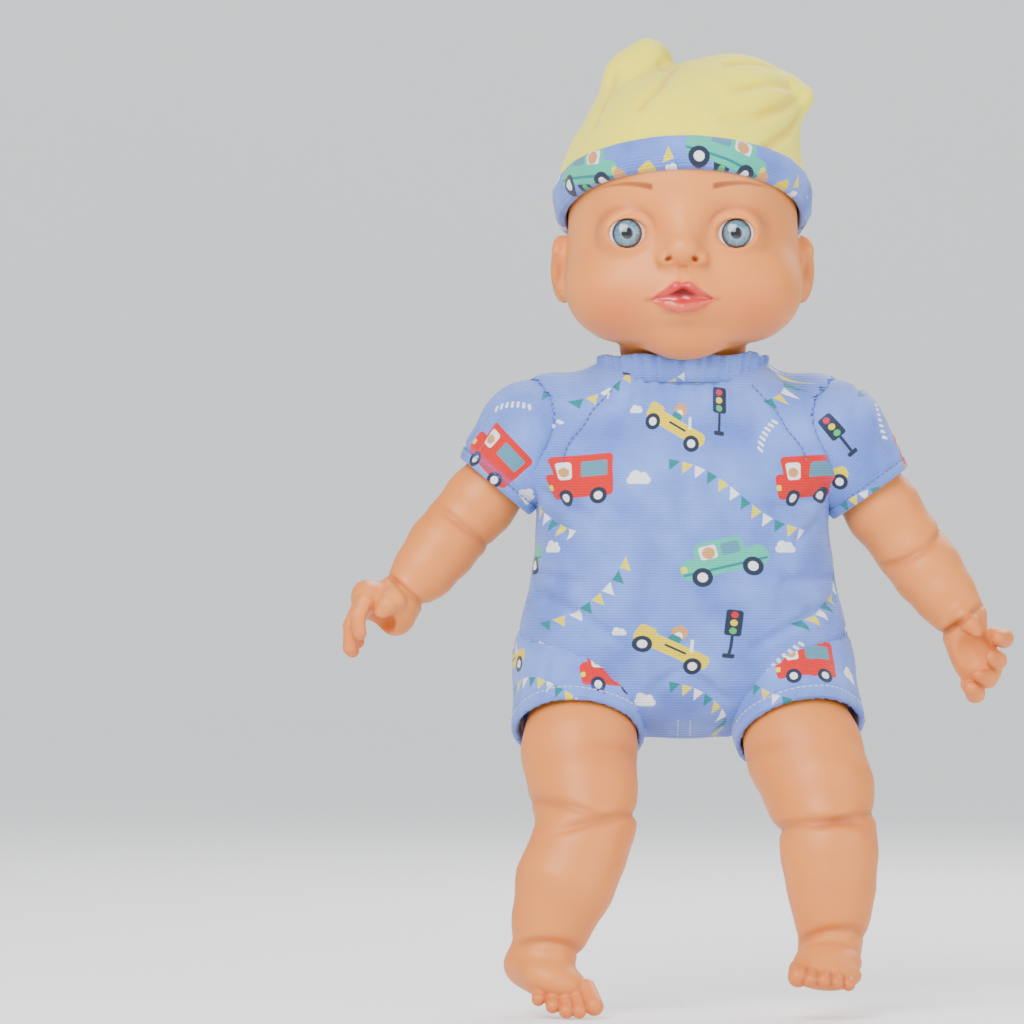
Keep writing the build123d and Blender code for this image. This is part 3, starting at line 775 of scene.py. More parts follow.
# ---------------------------------------------------------------- eyes
@dataclass(frozen=True)
class EyeFinish:
    """Painted eyeball: white, ringed blue iris with radial streaks, and pupil."""

    iris: Colour = (0.045, 0.12, 0.185)
    pale: Colour = (0.17, 0.32, 0.41)
    rim: Colour = (0.006, 0.014, 0.025)
    white: Colour = (0.80, 0.78, 0.76)

    def build(self) -> bpy.types.Material:
        """Make the material; 'ring' is the distance from the pupil's middle over the iris's radius."""
        material, paper, shader = dressed("eye_paint", Gloss(0.12, specular=0.6, coat=1.0))
        ring, turn = paper.mask("ring"), paper.mask("turn")
        streaks = paper.math("SINE", paper.math("MULTIPLY", turn, 31.0))
        cloud = paper.noise(paper.place(), 900.0, 3.0)
        shade = paper.math("ADD", paper.math("MULTIPLY", streaks, 0.16), cloud)
        colour = paper.mix(paper.ramp(shade, 0.3, 0.85), self.iris, self.pale)
        colour = paper.mix(paper.ramp(ring, 0.45, 0.62, 0.55, 0.0), colour, self.pale)
        colour = paper.mix(paper.ramp(ring, 0.74, 0.93), colour, self.rim)
        colour = paper.mix(paper.ramp(ring, 0.36, 0.42, 1.0, 0.0), colour, (0.004, 0.005, 0.007))
        colour = paper.mix(paper.ramp(ring, 0.97, 1.06), colour, self.white)
        paper.coat(shader, colour, paper.group(SHARED.wear, Base=0.12, Spread=0.05)[0])
        return material


@dataclass
class Eyes:
    """Two acrylic eyeballs behind the lids."""

    head: Head
    iris_radius: float = 5.35
    bulge: float = 0.7
    rings: int = 44
    spokes: int = 72

    def build(self) -> None:
        """Make each eye as one closed ball with a slightly bulging cornea."""
        finish = EyeFinish().build()
        for side, x in zip(SIDES, self.head.eye_x):
            toward_iris = np.concatenate([np.linspace(0, 0.75, self.rings), np.linspace(0.8, math.pi, 20)])
            angles = 2 * math.pi * np.arange(self.spokes) / self.spokes
            points, ring, turn = [], [], []
            for k, tilt in enumerate(toward_iris[1:-1]):
                off = self.head.ball * math.sin(tilt)
                dome = max(0.0, 1.0 - (off / (self.iris_radius + 0.8)) ** 2)
                cap = self.bulge * dome if tilt < 1.2 else 0.0
                depth = self.head.ball_y - self.head.ball * math.cos(tilt) - cap
                for a in angles:
                    points.append((x + off * math.cos(a), depth, self.head.eye_z - 0.2 + off * math.sin(a)))
                    ring.append(off / self.iris_radius if tilt < 1.5 else 9.0)
                    turn.append(a)
            count, n = len(points), self.spokes
            points += [(x, self.head.ball_y - self.head.ball - self.bulge, self.head.eye_z - 0.2),
                       (x, self.head.ball_y + self.head.ball, self.head.eye_z - 0.2)]
            ring += [0.0, 9.0]
            turn += [0.0, 0.0]
            rows = count // n
            faces = ring_faces(rows, n)
            faces += [(count, (i + 1) % n, i) for i in range(n)]
            faces += [(count + 1, (rows - 1) * n + i, (rows - 1) * n + (i + 1) % n) for i in range(n)]
            ball = new_piece(f"{side}_eyeball", points, faces)
            facing_out(ball)
            paint(ball, ring=ring, turn=turn)
            ball.data.materials.append(finish)
            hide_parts(f"{side}_eye_white", f"{side}_eye_iris", f"{side}_eye_dome")
            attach(ball, "head")


# ---------------------------------------------------------------- bare limbs
@dataclass(frozen=True)
class LimbFinish(VinylFinish):
    """The same vinyl, a little more tanned, on arms and legs."""

    skin: Colour = (0.73, 0.222, 0.042)
    pale: Colour = (0.79, 0.265, 0.058)


@dataclass(frozen=True)
class Crease:
    """A soft line round a limb."""

    at: tuple[float, float, float]
    along: tuple[float, float, float]
    width: float
    depth: float
    toward: tuple[float, float, float] = (0, 0, 0)
    reach: float = 22.0


@dataclass
class BareLimb:
    """One vinyl arm or leg: a tapered chain, a hand or foot, digits and baby creases."""

    name: str
    node: str
    body: str
    chain: Limb
    palms: tuple[tuple[Form, float], ...]
    digits: tuple[Limb, ...]
    creases: tuple[Crease, ...]
    hollows: tuple[tuple[Form, float], ...] = ()
    fine: tuple[tuple[float, float], ...] = ()

    def form(self) -> Sculpt:
        """Sculpt it."""
        clay = Sculpt().add(self.chain)
        for palm, melt in self.palms:
            clay.add(palm, melt)
        for digit in self.digits:
            clay.add(digit, 0.9)
        for hollow, melt in self.hollows:
            clay.carve(hollow, melt)
        for line in self.creases:
            clay.crease(line.at, line.along, line.width, line.depth, line.toward, line.reach)
        return clay

    def masks(self, p: Points) -> dict[str, np.ndarray]:
        """Sprayed blush at the tips, and painted shade (fold) in the creases, at the roots of the digits and
        between them.
        """
        # fold: painted shade in the creases and between fingers and toes.
        fold = np.zeros(len(p))
        for line in self.creases:
            n = np.array(line.along) / np.linalg.norm(line.along)
            q = p - np.array(line.at)
            far = np.linalg.norm(q, axis=1)
            near = np.exp(-((q @ n) / (line.width * 1.1)) ** 2)
            near *= smooth_step(-far, -line.reach, -0.7 * line.reach)
            side = np.array(line.toward, float)
            if side.any():
                near *= smooth_step((q @ side) / np.maximum(far, 1e-6), -0.3, 0.5)
            fold += 0.4 * near
        tips = np.zeros(len(p))
        for digit in self.digits:
            tips += np.exp(-(np.linalg.norm(p - np.array(digit.points[-1]), axis=1) / 4.5) ** 2)
            root = np.linalg.norm(p - np.array(digit.points[0]), axis=1)
            fold += 0.06 * np.exp(-(root / 3.0) ** 2)
        gaps = np.sort(np.stack([digit(p) for digit in self.digits], 1), 1)
        between = np.exp(-((gaps[:, 0] + 0.3) / 0.9) ** 2) * np.exp(-((gaps[:, 1] - gaps[:, 0]) / 0.7) ** 2)
        fold += 0.75 * between
        zero = np.zeros(len(p))
        return {"blush": np.clip(0.45 * tips, 0, 0.6), "fold": np.clip(fold, 0, 0.8),
                "brow": zero, "lip": zero, "inner": zero, "wet": zero}

    def build(self, finish: bpy.types.Material) -> None:
        """Make the limb's skin."""
        form = self.form()
        low = np.min([np.array(f.middle) - f.size for f in (self.chain, *self.digits)], 0) - 4
        high = np.max([np.array(f.middle) + f.size for f in (self.chain, *self.digits)], 0) + 4
        axes = [graded_axis(low[n], high[n], 1.15, 0.5, self.fine[n]) for n in range(3)]
        points, faces = skin_of(form, axes)
        skin = new_piece(self.name, points, faces)
        paint(skin, **self.masks(points))
        skin.data.materials.append(finish)
        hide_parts(self.node)
        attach(skin, self.body)
        LOG.info("%s: %d points", self.name, len(points))


SHOULDER = (54.0, 0.0, 207.0)
ARM_ANGLE = {"right": 40.0, "left": 35.5}
HIP = (36.0, 0.0, 125.0)


def arm_line(side: str, reach: float, forward: float = 0.0,
             across: float = 0.0) -> tuple[float, float, float]:
    """Point by the straight line down an arm.

    Args:
        side: "right" or "left".
        reach: Millimetres from the shoulder's centre.
        forward: Millimetres towards the doll's front.
        across: Millimetres away from the body, square to the arm.
    """
    s, angle = SIDES[side], math.radians(ARM_ANGLE[side])
    return (s * (SHOULDER[0] + reach * math.sin(angle) + across * math.cos(angle)), SHOULDER[1] - forward,
            SHOULDER[2] - reach * math.cos(angle) + across * math.sin(angle))


def arm_way(side: str) -> tuple[float, float, float]:
    """Unit vector down the arm."""
    angle = math.radians(ARM_ANGLE[side])
    return (SIDES[side] * math.sin(angle), 0.0, -math.cos(angle))


def right_arm() -> BareLimb:
    """The doll's right arm, its hand seen from the thumb's side with the fingers curled down."""
    line = lambda *a: arm_line("right", *a)
    chain = Limb((line(20.6), line(31), line(39), line(43, 1), line(52, 4), line(62, 7, -0.5), line(72, 10)),
                 (12.4, 13.2, 12.3, 12.4, 12.6, 11.3, 8.9), 2.0)
    palms = ((Ball(line(81, 14, -1.0), (8.4, 9.6, 9.6), lean=-25), 5.0),
             (Ball((-114.0, -15.5, 148.0), (6.2, 9.6, 7.4), lean=-20), 4.0),
             (Ball((-105.2, -22.5, 147.6), (4.9, 4.6, 4.7)), 2.0))
    roots = ((-115.2, -23.8, 147.5), (-117.2, -19.3, 145.5), (-117.4, -14.6, 145.0), (-116.6, -10.2, 146.0))
    tips = ((-117.0, -24.6, 136.2), (-120.6, -20.0, 130.6), (-119.8, -15.0, 129.6), (-117.8, -10.5, 132.6))
    digits = []
    for root, tip, radius in zip(roots, tips, (2.75, 2.75, 2.65, 2.4)):
        knuckle = tuple(0.55 * a + 0.45 * b + bend for a, b, bend in zip(root, tip, (-1.5, -0.3, 0.0)))
        digits.append(Limb((root, knuckle, tip), (radius + 0.3, radius, radius - 0.15), 1.0))
    thumb = ((-104.8, -22.0, 149.0), (-107.0, -25.2, 146.2), (-109.0, -25.4, 143.2))
    digits.append(Limb(thumb, (4.0, 3.5, 3.0), 1.0))
    hollows = ((Ball((-109.5, -19.5, 139.6), (5.2, 7.5, 4.6), lean=-30), 3.0),)
    creases = (Crease(line(41.5, 2), (-0.62, 0.0, -0.78), 1.5, 1.1, (0.6, -0.55, 0.3)),
               Crease(line(72.5, 10), arm_way("right"), 1.3, 1.3, (0.5, -0.6, 0.0), 18),
               Crease(line(72.5, 10), arm_way("right"), 1.2, 0.7, (-0.7, 0.4, 0.6), 18))
    return BareLimb("right_arm_skin", "right_arm_shell", "right_arm", chain, palms, tuple(digits), creases,
                    hollows, fine=((-125, -95), (-31, -4), (124, 158)))


def left_arm() -> BareLimb:
    """The doll's left arm, palm forward, fingers curled to the front."""
    line = lambda *a: arm_line("left", *a)
    chain = Limb((line(20.6), line(33), line(45, 0.5), line(50, 1.5), line(60, 4.5), line(70, 7.5),
                  line(80, 10)), (12.5, 13.6, 12.5, 12.7, 12.6, 11.2, 9.6), 2.0)
    palms = ((Ball((103.0, -13.0, 132.5), (8.0, 7.4, 10.5), lean=-32), 4.0),
             (Ball((106.2, -12.5, 126.0), (8.6, 6.0, 10.8), lean=-32), 3.0),
             (Ball((101.0, -17.0, 142.2), (4.6, 5.2, 4.4)), 2.5))
    roots = ((112.2, -13.5, 134.8), (110.6, -12.8, 127.4), (107.4, -12.3, 121.4), (103.6, -12.0, 117.6))
    bends = ((115.6, -18.2, 134.2), (113.2, -18.0, 126.2), (109.8, -17.6, 119.6), (105.4, -16.8, 114.2))
    tips = ((113.4, -23.4, 134.4), (109.8, -23.0, 127.4), (106.0, -22.6, 121.4), (103.4, -21.2, 116.2))
    digits = [Limb(points, (3.4, 3.3, 2.7), 1.2) for points in zip(roots, bends, tips)]
    thumb = ((99.5, -16.5, 142.0), (103.0, -20.5, 140.0), (105.2, -21.5, 136.6))
    digits.append(Limb(thumb, (4.2, 3.5, 2.9), 1.2))
    hollows = ((Ball((103.5, -21.5, 128.6), (5.0, 5.0, 6.5), lean=-32), 3.0),)
    creases = (Crease(line(48.5, 1), (0.5, 0.25, -0.83), 1.6, 1.1, (0.1, -0.9, 0.4)),
               Crease(line(81, 10), arm_way("left"), 1.3, 1.0, (0.0, -0.7, 0.0), 18),
               Crease(line(81, 10), arm_way("left"), 1.3, 0.9, (-0.8, 0.0, -0.5), 18))
    return BareLimb("left_arm_skin", "left_arm_shell", "left_arm", chain, palms, tuple(digits), creases,
                    hollows, fine=((93, 121), (-28, -6), (109, 149)))


def right_leg() -> BareLimb:
    """The doll's right leg, toes pointing down and inwards."""
    chain = Limb(((-37.2, -17.4, 100.2), (-37.8, -22.0, 93.0), (-36.5, -31.0, 80.0), (-35.2, -38.0, 68.5),
                  (-38.5, -41.5, 58.0), (-43.2, -44.0, 47.0), (-47.6, -46.0, 34.0), (-50.2, -47.5, 24.0)),
                 (19.9, 20.3, 18.9, 17.0, 16.9, 17.2, 14.0, 11.8), 3.5)
    palms = ((Ball((-53.6, -44.5, 17.2), (11.6, 12.5, 9.0), lean=10), 4.0),
             (Ball((-47.6, -54.5, 12.8), (13.4, 12.5, 8.0), lean=24), 4.0))
    toes = (((-35.6, -58, 10.6), (-33.0, -68.0, 4.6), 3.4), ((-39.4, -60, 8.6), (-38.3, -70.2, 3.0), 2.6),
            ((-43.6, -60, 8.4), (-42.9, -70.0, 3.0), 2.6), ((-48.2, -59, 9.0), (-47.7, -68.2, 4.6), 2.5),
            ((-52.6, -57, 10.4), (-52.8, -65.4, 6.9), 2.4))
    digits = tuple(Limb((root, tip), (radius - 0.2, radius)) for root, tip, radius in toes)
    creases = (Crease((-35.2, -38, 67.0), (0.25, -0.1, -0.95), 1.9, 1.5, (0.8, -0.5, 0.2), 26),
               Crease((-35.2, -38, 70.5), (-0.3, -0.15, -0.93), 1.9, 1.0, (-0.9, -0.3, -0.2), 26),
               Crease((-48.8, -47, 22.5), (-0.06, -0.35, -0.93), 1.3, 1.1, (0.3, -0.8, 0.0), 20),
               Crease((-38.0, -24, 88.0), (0.1, -0.4, -0.9), 2.6, 0.35, (0.9, 0.1, 0.0), 26))
    return BareLimb("right_leg_skin", "right_leg_shell", "right_leg", chain, palms, digits, creases,
                    fine=((-68, -27), (-76, -52), (-3, 30)))


def left_leg() -> BareLimb:
    """The doll's left leg, its toes towards the front."""
    chain = Limb(((41.0, -17.4, 100.2), (43.4, -22.0, 93.0), (48.2, -31.0, 80.0), (51.0, -38.0, 67.0),
                  (51.6, -40.5, 57.0), (52.2, -43.0, 45.0), (52.3, -45.0, 36.0), (51.8, -46.0, 28.0)),
                 (19.9, 20.5, 19.3, 16.6, 16.8, 15.2, 13.0, 11.3), 3.5)
    palms = ((Ball((51.2, -43.5, 21.0), (11.0, 12.0, 9.5)), 4.0),
             (Ball((50.2, -57.0, 19.4), (12.2, 15.0, 7.6)), 4.0),
             (Ball((48.8, -68.5, 16.2), (13.0, 8.0, 6.0), lean=4), 3.0))
    toes = (((39.6, -69, 18.2), (38.9, -77.6, 15.6), 3.7), ((43.8, -71, 18.0), (43.3, -80.0, 14.6), 2.6),
            ((48.2, -71, 17.8), (47.9, -80.0, 14.3), 2.6), ((52.6, -70, 17.3), (52.5, -78.6, 13.6), 2.5),
            ((56.6, -68, 16.6), (56.8, -76.4, 12.9), 2.4))
    digits = tuple(Limb((root, tip), (radius - 0.2, radius)) for root, tip, radius in toes)
    creases = (Crease((51.0, -38, 66.0), (0.0, -0.2, -0.97), 1.9, 1.5, (-0.6, -0.7, 0.0), 26),
               Crease((51.0, -38, 67.5), (0.25, -0.1, -0.95), 1.9, 1.2, (0.9, -0.3, 0.0), 26),
               Crease((51.8, -46, 26.8), (0.12, -0.35, -0.93), 1.3, 1.1, (0.0, -0.9, 0.0), 20),
               Crease((44.5, -24, 88.0), (-0.1, -0.4, -0.9), 2.6, 0.35, (-0.9, 0.1, 0.0), 26))
    return BareLimb("left_leg_skin", "left_leg_shell", "left_leg", chain, palms, digits, creases,
                    fine=((33, 65), (-86, -60), (5, 30)))


# ---------------------------------------------------------------- printed knit
class Ink(Enum):
    """Colours of the printed pattern."""

    RED = (0.66, 0.006, 0.005)
    GLASS = (0.08, 0.25, 0.36)
    YELLOW = (0.78, 0.60, 0.006)
    LEMON = (0.80, 0.68, 0.02)
    MINT = (0.05, 0.48, 0.34)
    TEAL = (0.002, 0.20, 0.22)
    DARK = (0.012, 0.022, 0.05)
    WHITE = (0.86, 0.88, 0.92)
    TAN = (0.62, 0.30, 0.10)
    GREEN = (0.05, 0.42, 0.12)


@dataclass(frozen=True)
class Mark:
    """A rounded box of ink in a motif; sizes in millimetres, lean in degrees."""

    ink: Ink
    middle: tuple[float, float]
    half: tuple[float, float]
    round: float = 0.5
    lean: float = 0.0


def dot(ink: Ink, x: float, y: float, radius: float) -> Mark:
    """A round spot of ink."""
    return Mark(ink, (x, y), (radius, radius), radius)


def wheel(x: float, y: float, radius: float) -> tuple[Mark, ...]:
    """A dark tyre with a pale hub."""
    return (dot(Ink.DARK, x, y, radius), dot(Ink.WHITE, x, y, radius * 0.5))


@dataclass(frozen=True)
class Motif:
    """A small picture, once in every tile of the print."""

    at: tuple[float, float]
    lean: float
    marks: tuple[Mark, ...]


def scaled(size: float, *marks: Mark) -> tuple[Mark, ...]:
    """The same marks drawn larger or smaller."""
    return tuple(Mark(m.ink, (m.middle[0] * size, m.middle[1] * size), (m.half[0] * size, m.half[1] * size),
                      m.round * size, m.lean) for m in marks)


def cloud(x: float, y: float, size: float) -> Motif:
    """A white puff."""
    marks = (Mark(Ink.WHITE, (0, -0.9), (3.1, 1.0), 1.0), dot(Ink.WHITE, -0.9, 0.2, 1.5),
             dot(Ink.WHITE, 1.2, 0.1, 1.15))
    return Motif((x, y), 0.0, scaled(size, *marks))


VAN = Motif((0, 0), 5.0, scaled(
    1.15, Mark(Ink.RED, (0, -1.2), (10.4, 4.0), 1.6), Mark(Ink.RED, (1.4, 2.9), (8.9, 5.2), 1.6),
    Mark(Ink.WHITE, (-4.3, 3.4), (2.0, 2.7), 1.0), dot(Ink.TAN, -4.4, 3.0, 1.5),
    Mark(Ink.GLASS, (4.4, 3.6), (4.2, 2.4), 0.6), Mark(Ink.LEMON, (-9.6, -1.4), (0.8, 0.9), 0.5),
    *wheel(-4.9, -5.0, 2.6), *wheel(5.9, -5.0, 2.6)))
OPEN_CAR = Motif((33, 20), -28.0, scaled(
    1.15, dot(Ink.TAN, -0.4, 5.2, 2.2), dot(Ink.WHITE, -0.2, 4.2, 1.1),
    Mark(Ink.TEAL, (-0.6, 2.4), (1.7, 1.6), 0.9),
    Mark(Ink.YELLOW, (0.2, -0.2), (11.0, 2.3), 2.0), Mark(Ink.YELLOW, (-8.2, 1.3), (2.6, 1.9), 1.3),
    Mark(Ink.WHITE, (4.4, 3.0), (0.45, 2.0), 0.3, 24), Mark(Ink.DARK, (1.0, 0.1), (3.2, 0.35), 0.2),
    *wheel(-7.4, -2.5, 2.6), *wheel(7.6, -2.5, 2.6)))
MINT_CAR = Motif((50, -29), 14.0, scaled(
    1.14, Mark(Ink.MINT, (-0.5, 3.9), (7.6, 3.4), 2.8), Mark(Ink.MINT, (0, -0.3), (13.2, 3.2), 2.6),
    Mark(Ink.WHITE, (-3.9, 3.9), (2.6, 2.1), 0.9), dot(Ink.TAN, -3.8, 3.7, 1.9),
    Mark(Ink.GLASS, (2.8, 3.9), (2.8, 1.9), 0.8), Mark(Ink.TEAL, (0.0, -1.6), (12.6, 0.4), 0.2),
    Mark(Ink.LEMON, (-12.0, 0.2), (0.9, 1.0), 0.6),
    *wheel(-7.4, -3.3, 3.0), *wheel(7.6, -3.3, 3.0)))
SIGNAL = Motif((52, 29), -8.0, (
    Mark(Ink.DARK, (0, -7.4), (0.5, 4.6), 0.3), Mark(Ink.DARK, (0, -12.0), (1.9, 0.8), 0.5),
    Mark(Ink.DARK, (0, 0), (2.7, 4.7), 1.0), dot(Ink.RED, 0, 2.9, 1.15), dot(Ink.YELLOW, 0, 0, 1.15),
    dot(Ink.GREEN, 0, -2.9, 1.15)))
DASHES = Motif((68, 17), 52.0, tuple(Mark(Ink.WHITE, (k * 2.1, -0.12 * k * k), (0.55, 1.3), 0.5, 4.0 * k)
                                     for k in range(-3, 4)))
MOTIFS = (cloud(21.0, 1.5, 1.35), cloud(71.0, -23.5, 1.2), cloud(17.0, 26.0, 0.8),
          DASHES, SIGNAL, MINT_CAR, OPEN_CAR, VAN)


@dataclass(frozen=True)
class PrintFinish:
    """Blue rib knit printed with toy cars, flags and clouds, laid out on the cloth's own millimetre map, with
    painted shade in the rib's valleys and in the folds.
    """

    name: str
    tile: tuple[float, float] = (78.0, 80.0)
    shift: tuple[float, float] = (0.0, 0.0)
    turn: float = 0.0
    scale: float = 1.0
    ground: Colour = (0.175, 0.305, 0.86)
    shade: Colour = (0.10, 0.195, 0.66)
    pitch: float = 0.95

    def build(self) -> bpy.types.Material:
        """Make the material."""
        material, paper, shader = dressed(self.name, Gloss(0.62, specular=0.3, sheen=0.25))
        cloth = paper.node("ShaderNodeUVMap", uv_map="cloth").outputs[0]
        place = paper.vector("SCALE", cloth, 1000.0)
        if self.turn or self.shift != (0.0, 0.0) or self.scale != 1.0:
            turned = paper.node("ShaderNodeMapping", {"Vector": place, "Location": (*self.shift, 0.0),
                                "Rotation": (0, 0, math.radians(self.turn)), "Scale": (self.scale,) * 3})
            pattern = turned.outputs[0]
        else:
            pattern = place
        colour = paper.mix(paper.ramp(paper.noise(paper.place(), 55.0), 0.35, 0.7), self.ground, self.shade)
        for flags in BUNTINGS:
            colour = flags.draw(paper, pattern, colour, self.tile)
        for motif in MOTIFS:
            colour = self.stamp(paper, pattern, colour, motif)
        rib = paper.group(SHARED.rib, Place=place, Pitch=self.pitch)
        # Painted shade: the colour is darkened in the rib's valleys.
        depth = paper.ramp(rib["Shade"], 0.0, 0.55, 0.30, 0.0)
        dim = paper.node("ShaderNodeMix", {0: depth}, data_type="RGBA", blend_type="MULTIPLY")
        paper.feed(dim.inputs[6], colour)
        paper.feed(dim.inputs[7], (0.42, 0.46, 0.62))
        # Painted shade in folds, seams and where the cloth meets other parts, from the fold mask.
        fold_shaded = paper.mix(paper.ramp(paper.mask("fold"), 0.0, 1.0, 0.0, 0.6), dim.outputs[2], self.shade)
        paper.coat(shader, fold_shaded, paper.group(SHARED.wear, Base=0.62, Spread=0.12)[0], rib["Normal"])
        return material

    def stamp(self, paper: Paper, pattern: object, colour: object, motif: Motif) -> object:
        """Print one motif over what is there already."""
        local = paper.turned(wrapped(paper, pattern, motif.at, self.tile), math.radians(-motif.lean))
        for mark in motif.marks:
            inside = paper.group(ROUNDED_BOX, Place=local, Middle=(*mark.middle, 0.0), Half=(*mark.half, 9.0),
                                 Round=min(mark.round, *mark.half), Lean=math.radians(-mark.lean))[0]
            colour = paper.mix(inside, colour, mark.ink.value)
        return colour


def wrapped(paper: Paper, pattern: object, at: tuple[float, float], tile: tuple[float, float]) -> object:
    """Coordinates about a point of the tile, from minus half a tile to plus half."""
    lifted = paper.vector("ADD", pattern, (tile[0] / 2 - at[0], tile[1] / 2 - at[1], 0.0))
    folded = paper.node("ShaderNodeVectorMath", {0: lifted, 1: (0.0, 0.0, -5.0), 2: (tile[0], tile[1], 5.0)},
                        operation="WRAP").outputs[0]
    return paper.vector("SUBTRACT", folded, (tile[0] / 2, tile[1] / 2, 0.0))


@dataclass(frozen=True)
class Bunting:
    """A run of little flags in the tile, along a leaning line that sags and sways."""

    at: tuple[float, float]
    lean: float
    flags: int
    sag: float = 0.0
    sway: float = 0.0
    pitch: float = 4.7
    drop: float = 4.3

    def draw(self, paper: Paper, pattern: object, colour: object, tile: tuple[float, float]) -> object:
        """Print the teal, yellow and white flags."""
        half = self.flags * self.pitch / 2
        local = paper.turned(wrapped(paper, pattern, self.at, tile), math.radians(-self.lean))
        parts = paper.node("ShaderNodeSeparateXYZ", {0: local}).outputs
        along = paper.math("DIVIDE", parts[0], half)
        wave = paper.math("SINE", paper.math("MULTIPLY", along, math.pi))
        bow = paper.math("SUBTRACT", paper.math("MULTIPLY", along, along), 1.0)
        swayed = paper.math("MULTIPLY", wave, -self.sway)
        line = paper.math("ADD", swayed, paper.math("MULTIPLY", bow, self.sag))
        below = paper.math("SUBTRACT", line, parts[1])
        step = paper.math("DIVIDE", paper.math("ADD", parts[0], half), self.pitch)
        across = paper.math("ABSOLUTE", paper.math("SUBTRACT", paper.math("FRACT", step), 0.5))
        edge = paper.math("SUBTRACT", 0.43, paper.math("MULTIPLY", below, 0.43 / self.drop))
        flag = paper.math("MULTIPLY", paper.ramp(paper.math("SUBTRACT", edge, across), -0.03, 0.03),
                          paper.ramp(below, -0.1, 0.15))
        flag = paper.math("MULTIPLY", flag, paper.math("LESS_THAN", paper.math("ABSOLUTE", along), 1.0))
        third = paper.math("MODULO", paper.math("FLOOR", step), 3.0)
        ink = paper.mix(paper.math("COMPARE", third, 0.0), Ink.LEMON.value, Ink.TEAL.value)
        ink = paper.mix(paper.math("COMPARE", third, 2.0), ink, Ink.WHITE.value)
        return paper.mix(flag, colour, ink)


BUNTINGS = (Bunting((56.0, -5.0), -27.5, 12, sway=2.5), Bunting((3.5, -39.0), 41.0, 8, sag=5.5))


def make_rounded_box() -> bpy.types.NodeTree:
    """Mask of a rounded box, for the print's marks."""
    inputs = {"Place": (0.0, 0.0, 0.0), "Middle": (0.0, 0.0, 0.0), "Half": (1.0, 1.0, 1.0),
              "Round": 0.5, "Lean": 0.0}
    group, paper = new_group("rounded_box", inputs, ("Inside",))
    inside = paper.node("NodeGroupInput").outputs
    local = paper.turned(paper.vector("SUBTRACT", inside["Place"], inside["Middle"]), inside["Lean"])
    core = paper.vector("SUBTRACT", paper.vector("ABSOLUTE", local), inside["Half"])
    rounded = paper.node("ShaderNodeCombineXYZ", {0: inside["Round"], 1: inside["Round"], 2: 0.0}).outputs[0]
    core = paper.vector("MAXIMUM", paper.vector("ADD", core, rounded), (0.0, 0.0, 0.0))
    away = paper.math("SUBTRACT", paper.vector("LENGTH", core, result=1), inside["Round"])
    paper.node("NodeGroupOutput", {"Inside": paper.ramp(away, -0.12, 0.12, 1.0, 0.0)})
    return group


ROUNDED_BOX = make_rounded_box()


# ---------------------------------------------------------------- romper
@dataclass(frozen=True)
class Trunk:
    """Stuffed body: oval sections, each a height, half width, half depth and its middle's depth."""

    sections: tuple[tuple[float, float, float, float], ...] = (
        (98, 14, 12, 0), (102, 27, 21, 0), (107, 38, 27, 0), (114, 47, 30.8, 0), (124, 57.0, 33.0, -0.5),
        (131, 60.5, 34.0, -0.8), (138, 59.6, 34.8, -1), (146, 57.2, 35.3, -1.2), (154, 55.6, 35.6, -1.3),
        (168, 53.6, 35.4, -1.3), (184, 52.6, 34.4, -1.2),
        (198, 51, 32.2, -0.6), (210, 47, 30.2, 0), (220, 40.5, 28.2, 0), (227, 33, 26, 0), (234, 27.5, 24, 0))
    squareness: float = 2.25
    middle = np.array([0.0, 0.0, 166.0])
    size = 95.0

    def __call__(self, p: Points) -> np.ndarray:
        """Signed distance, by the oval at each height."""
        rows = np.array(self.sections)
        fine = np.arange(rows[0, 0] - 12, rows[-1, 0] + 12, 0.5)
        window = np.hanning(25) / np.hanning(25).sum()
        wide, deep, shift = [np.convolve(np.interp(fine, rows[:, 0], rows[:, n]), window, "same")
                             for n in (1, 2, 3)]
        z = np.clip(p[:, 2], rows[0, 0], rows[-1, 0])
        w, d, y0 = np.interp(z, fine, wide), np.interp(z, fine, deep), np.interp(z, fine, shift)
        x, y = np.abs(p[:, 0]) / w, np.abs(p[:, 1] - y0) / d
        norm = (x**self.squareness + y**self.squareness) ** (1 / self.squareness)
        ray = np.hypot(p[:, 0], p[:, 1] - y0)
        side = ray * (norm - 1) / np.maximum(norm, 1e-6)
        side = np.where(norm < 0.2, -np.minimum(w, d) * 0.8, side)
        return np.maximum(side, np.maximum(rows[0, 0] - p[:, 2], p[:, 2] - rows[-1, 0]))


@dataclass(frozen=True)
class HalfSpace:
    """Everything behind a plane."""

    point: tuple[float, float, float]
    normal: tuple[float, float, float]

    def __call__(self, p: Points) -> np.ndarray:
        """Signed distance, negative behind the plane."""
        n = np.array(self.normal) / np.linalg.norm(self.normal)
        return (p - np.array(self.point)) @ n


@dataclass(frozen=True)
class Stuffing:
    """Slow lumps of the fill under the cloth."""

    depth: float = 0.45

    def __call__(self, p: Points) -> np.ndarray:
        """Height of the lumps, in millimetres."""
        x, y, z = p.T
        waves = (np.sin(x * 0.21 + 1.7 * np.sin(z * 0.07)) * np.sin(z * 0.17 + 0.6)
                 + 0.7 * np.sin(x * 0.11 - z * 0.23 + y * 0.19) + 0.4 * np.sin(z * 0.41 + x * 0.33 + 2.0))
        return self.depth * waves / 2


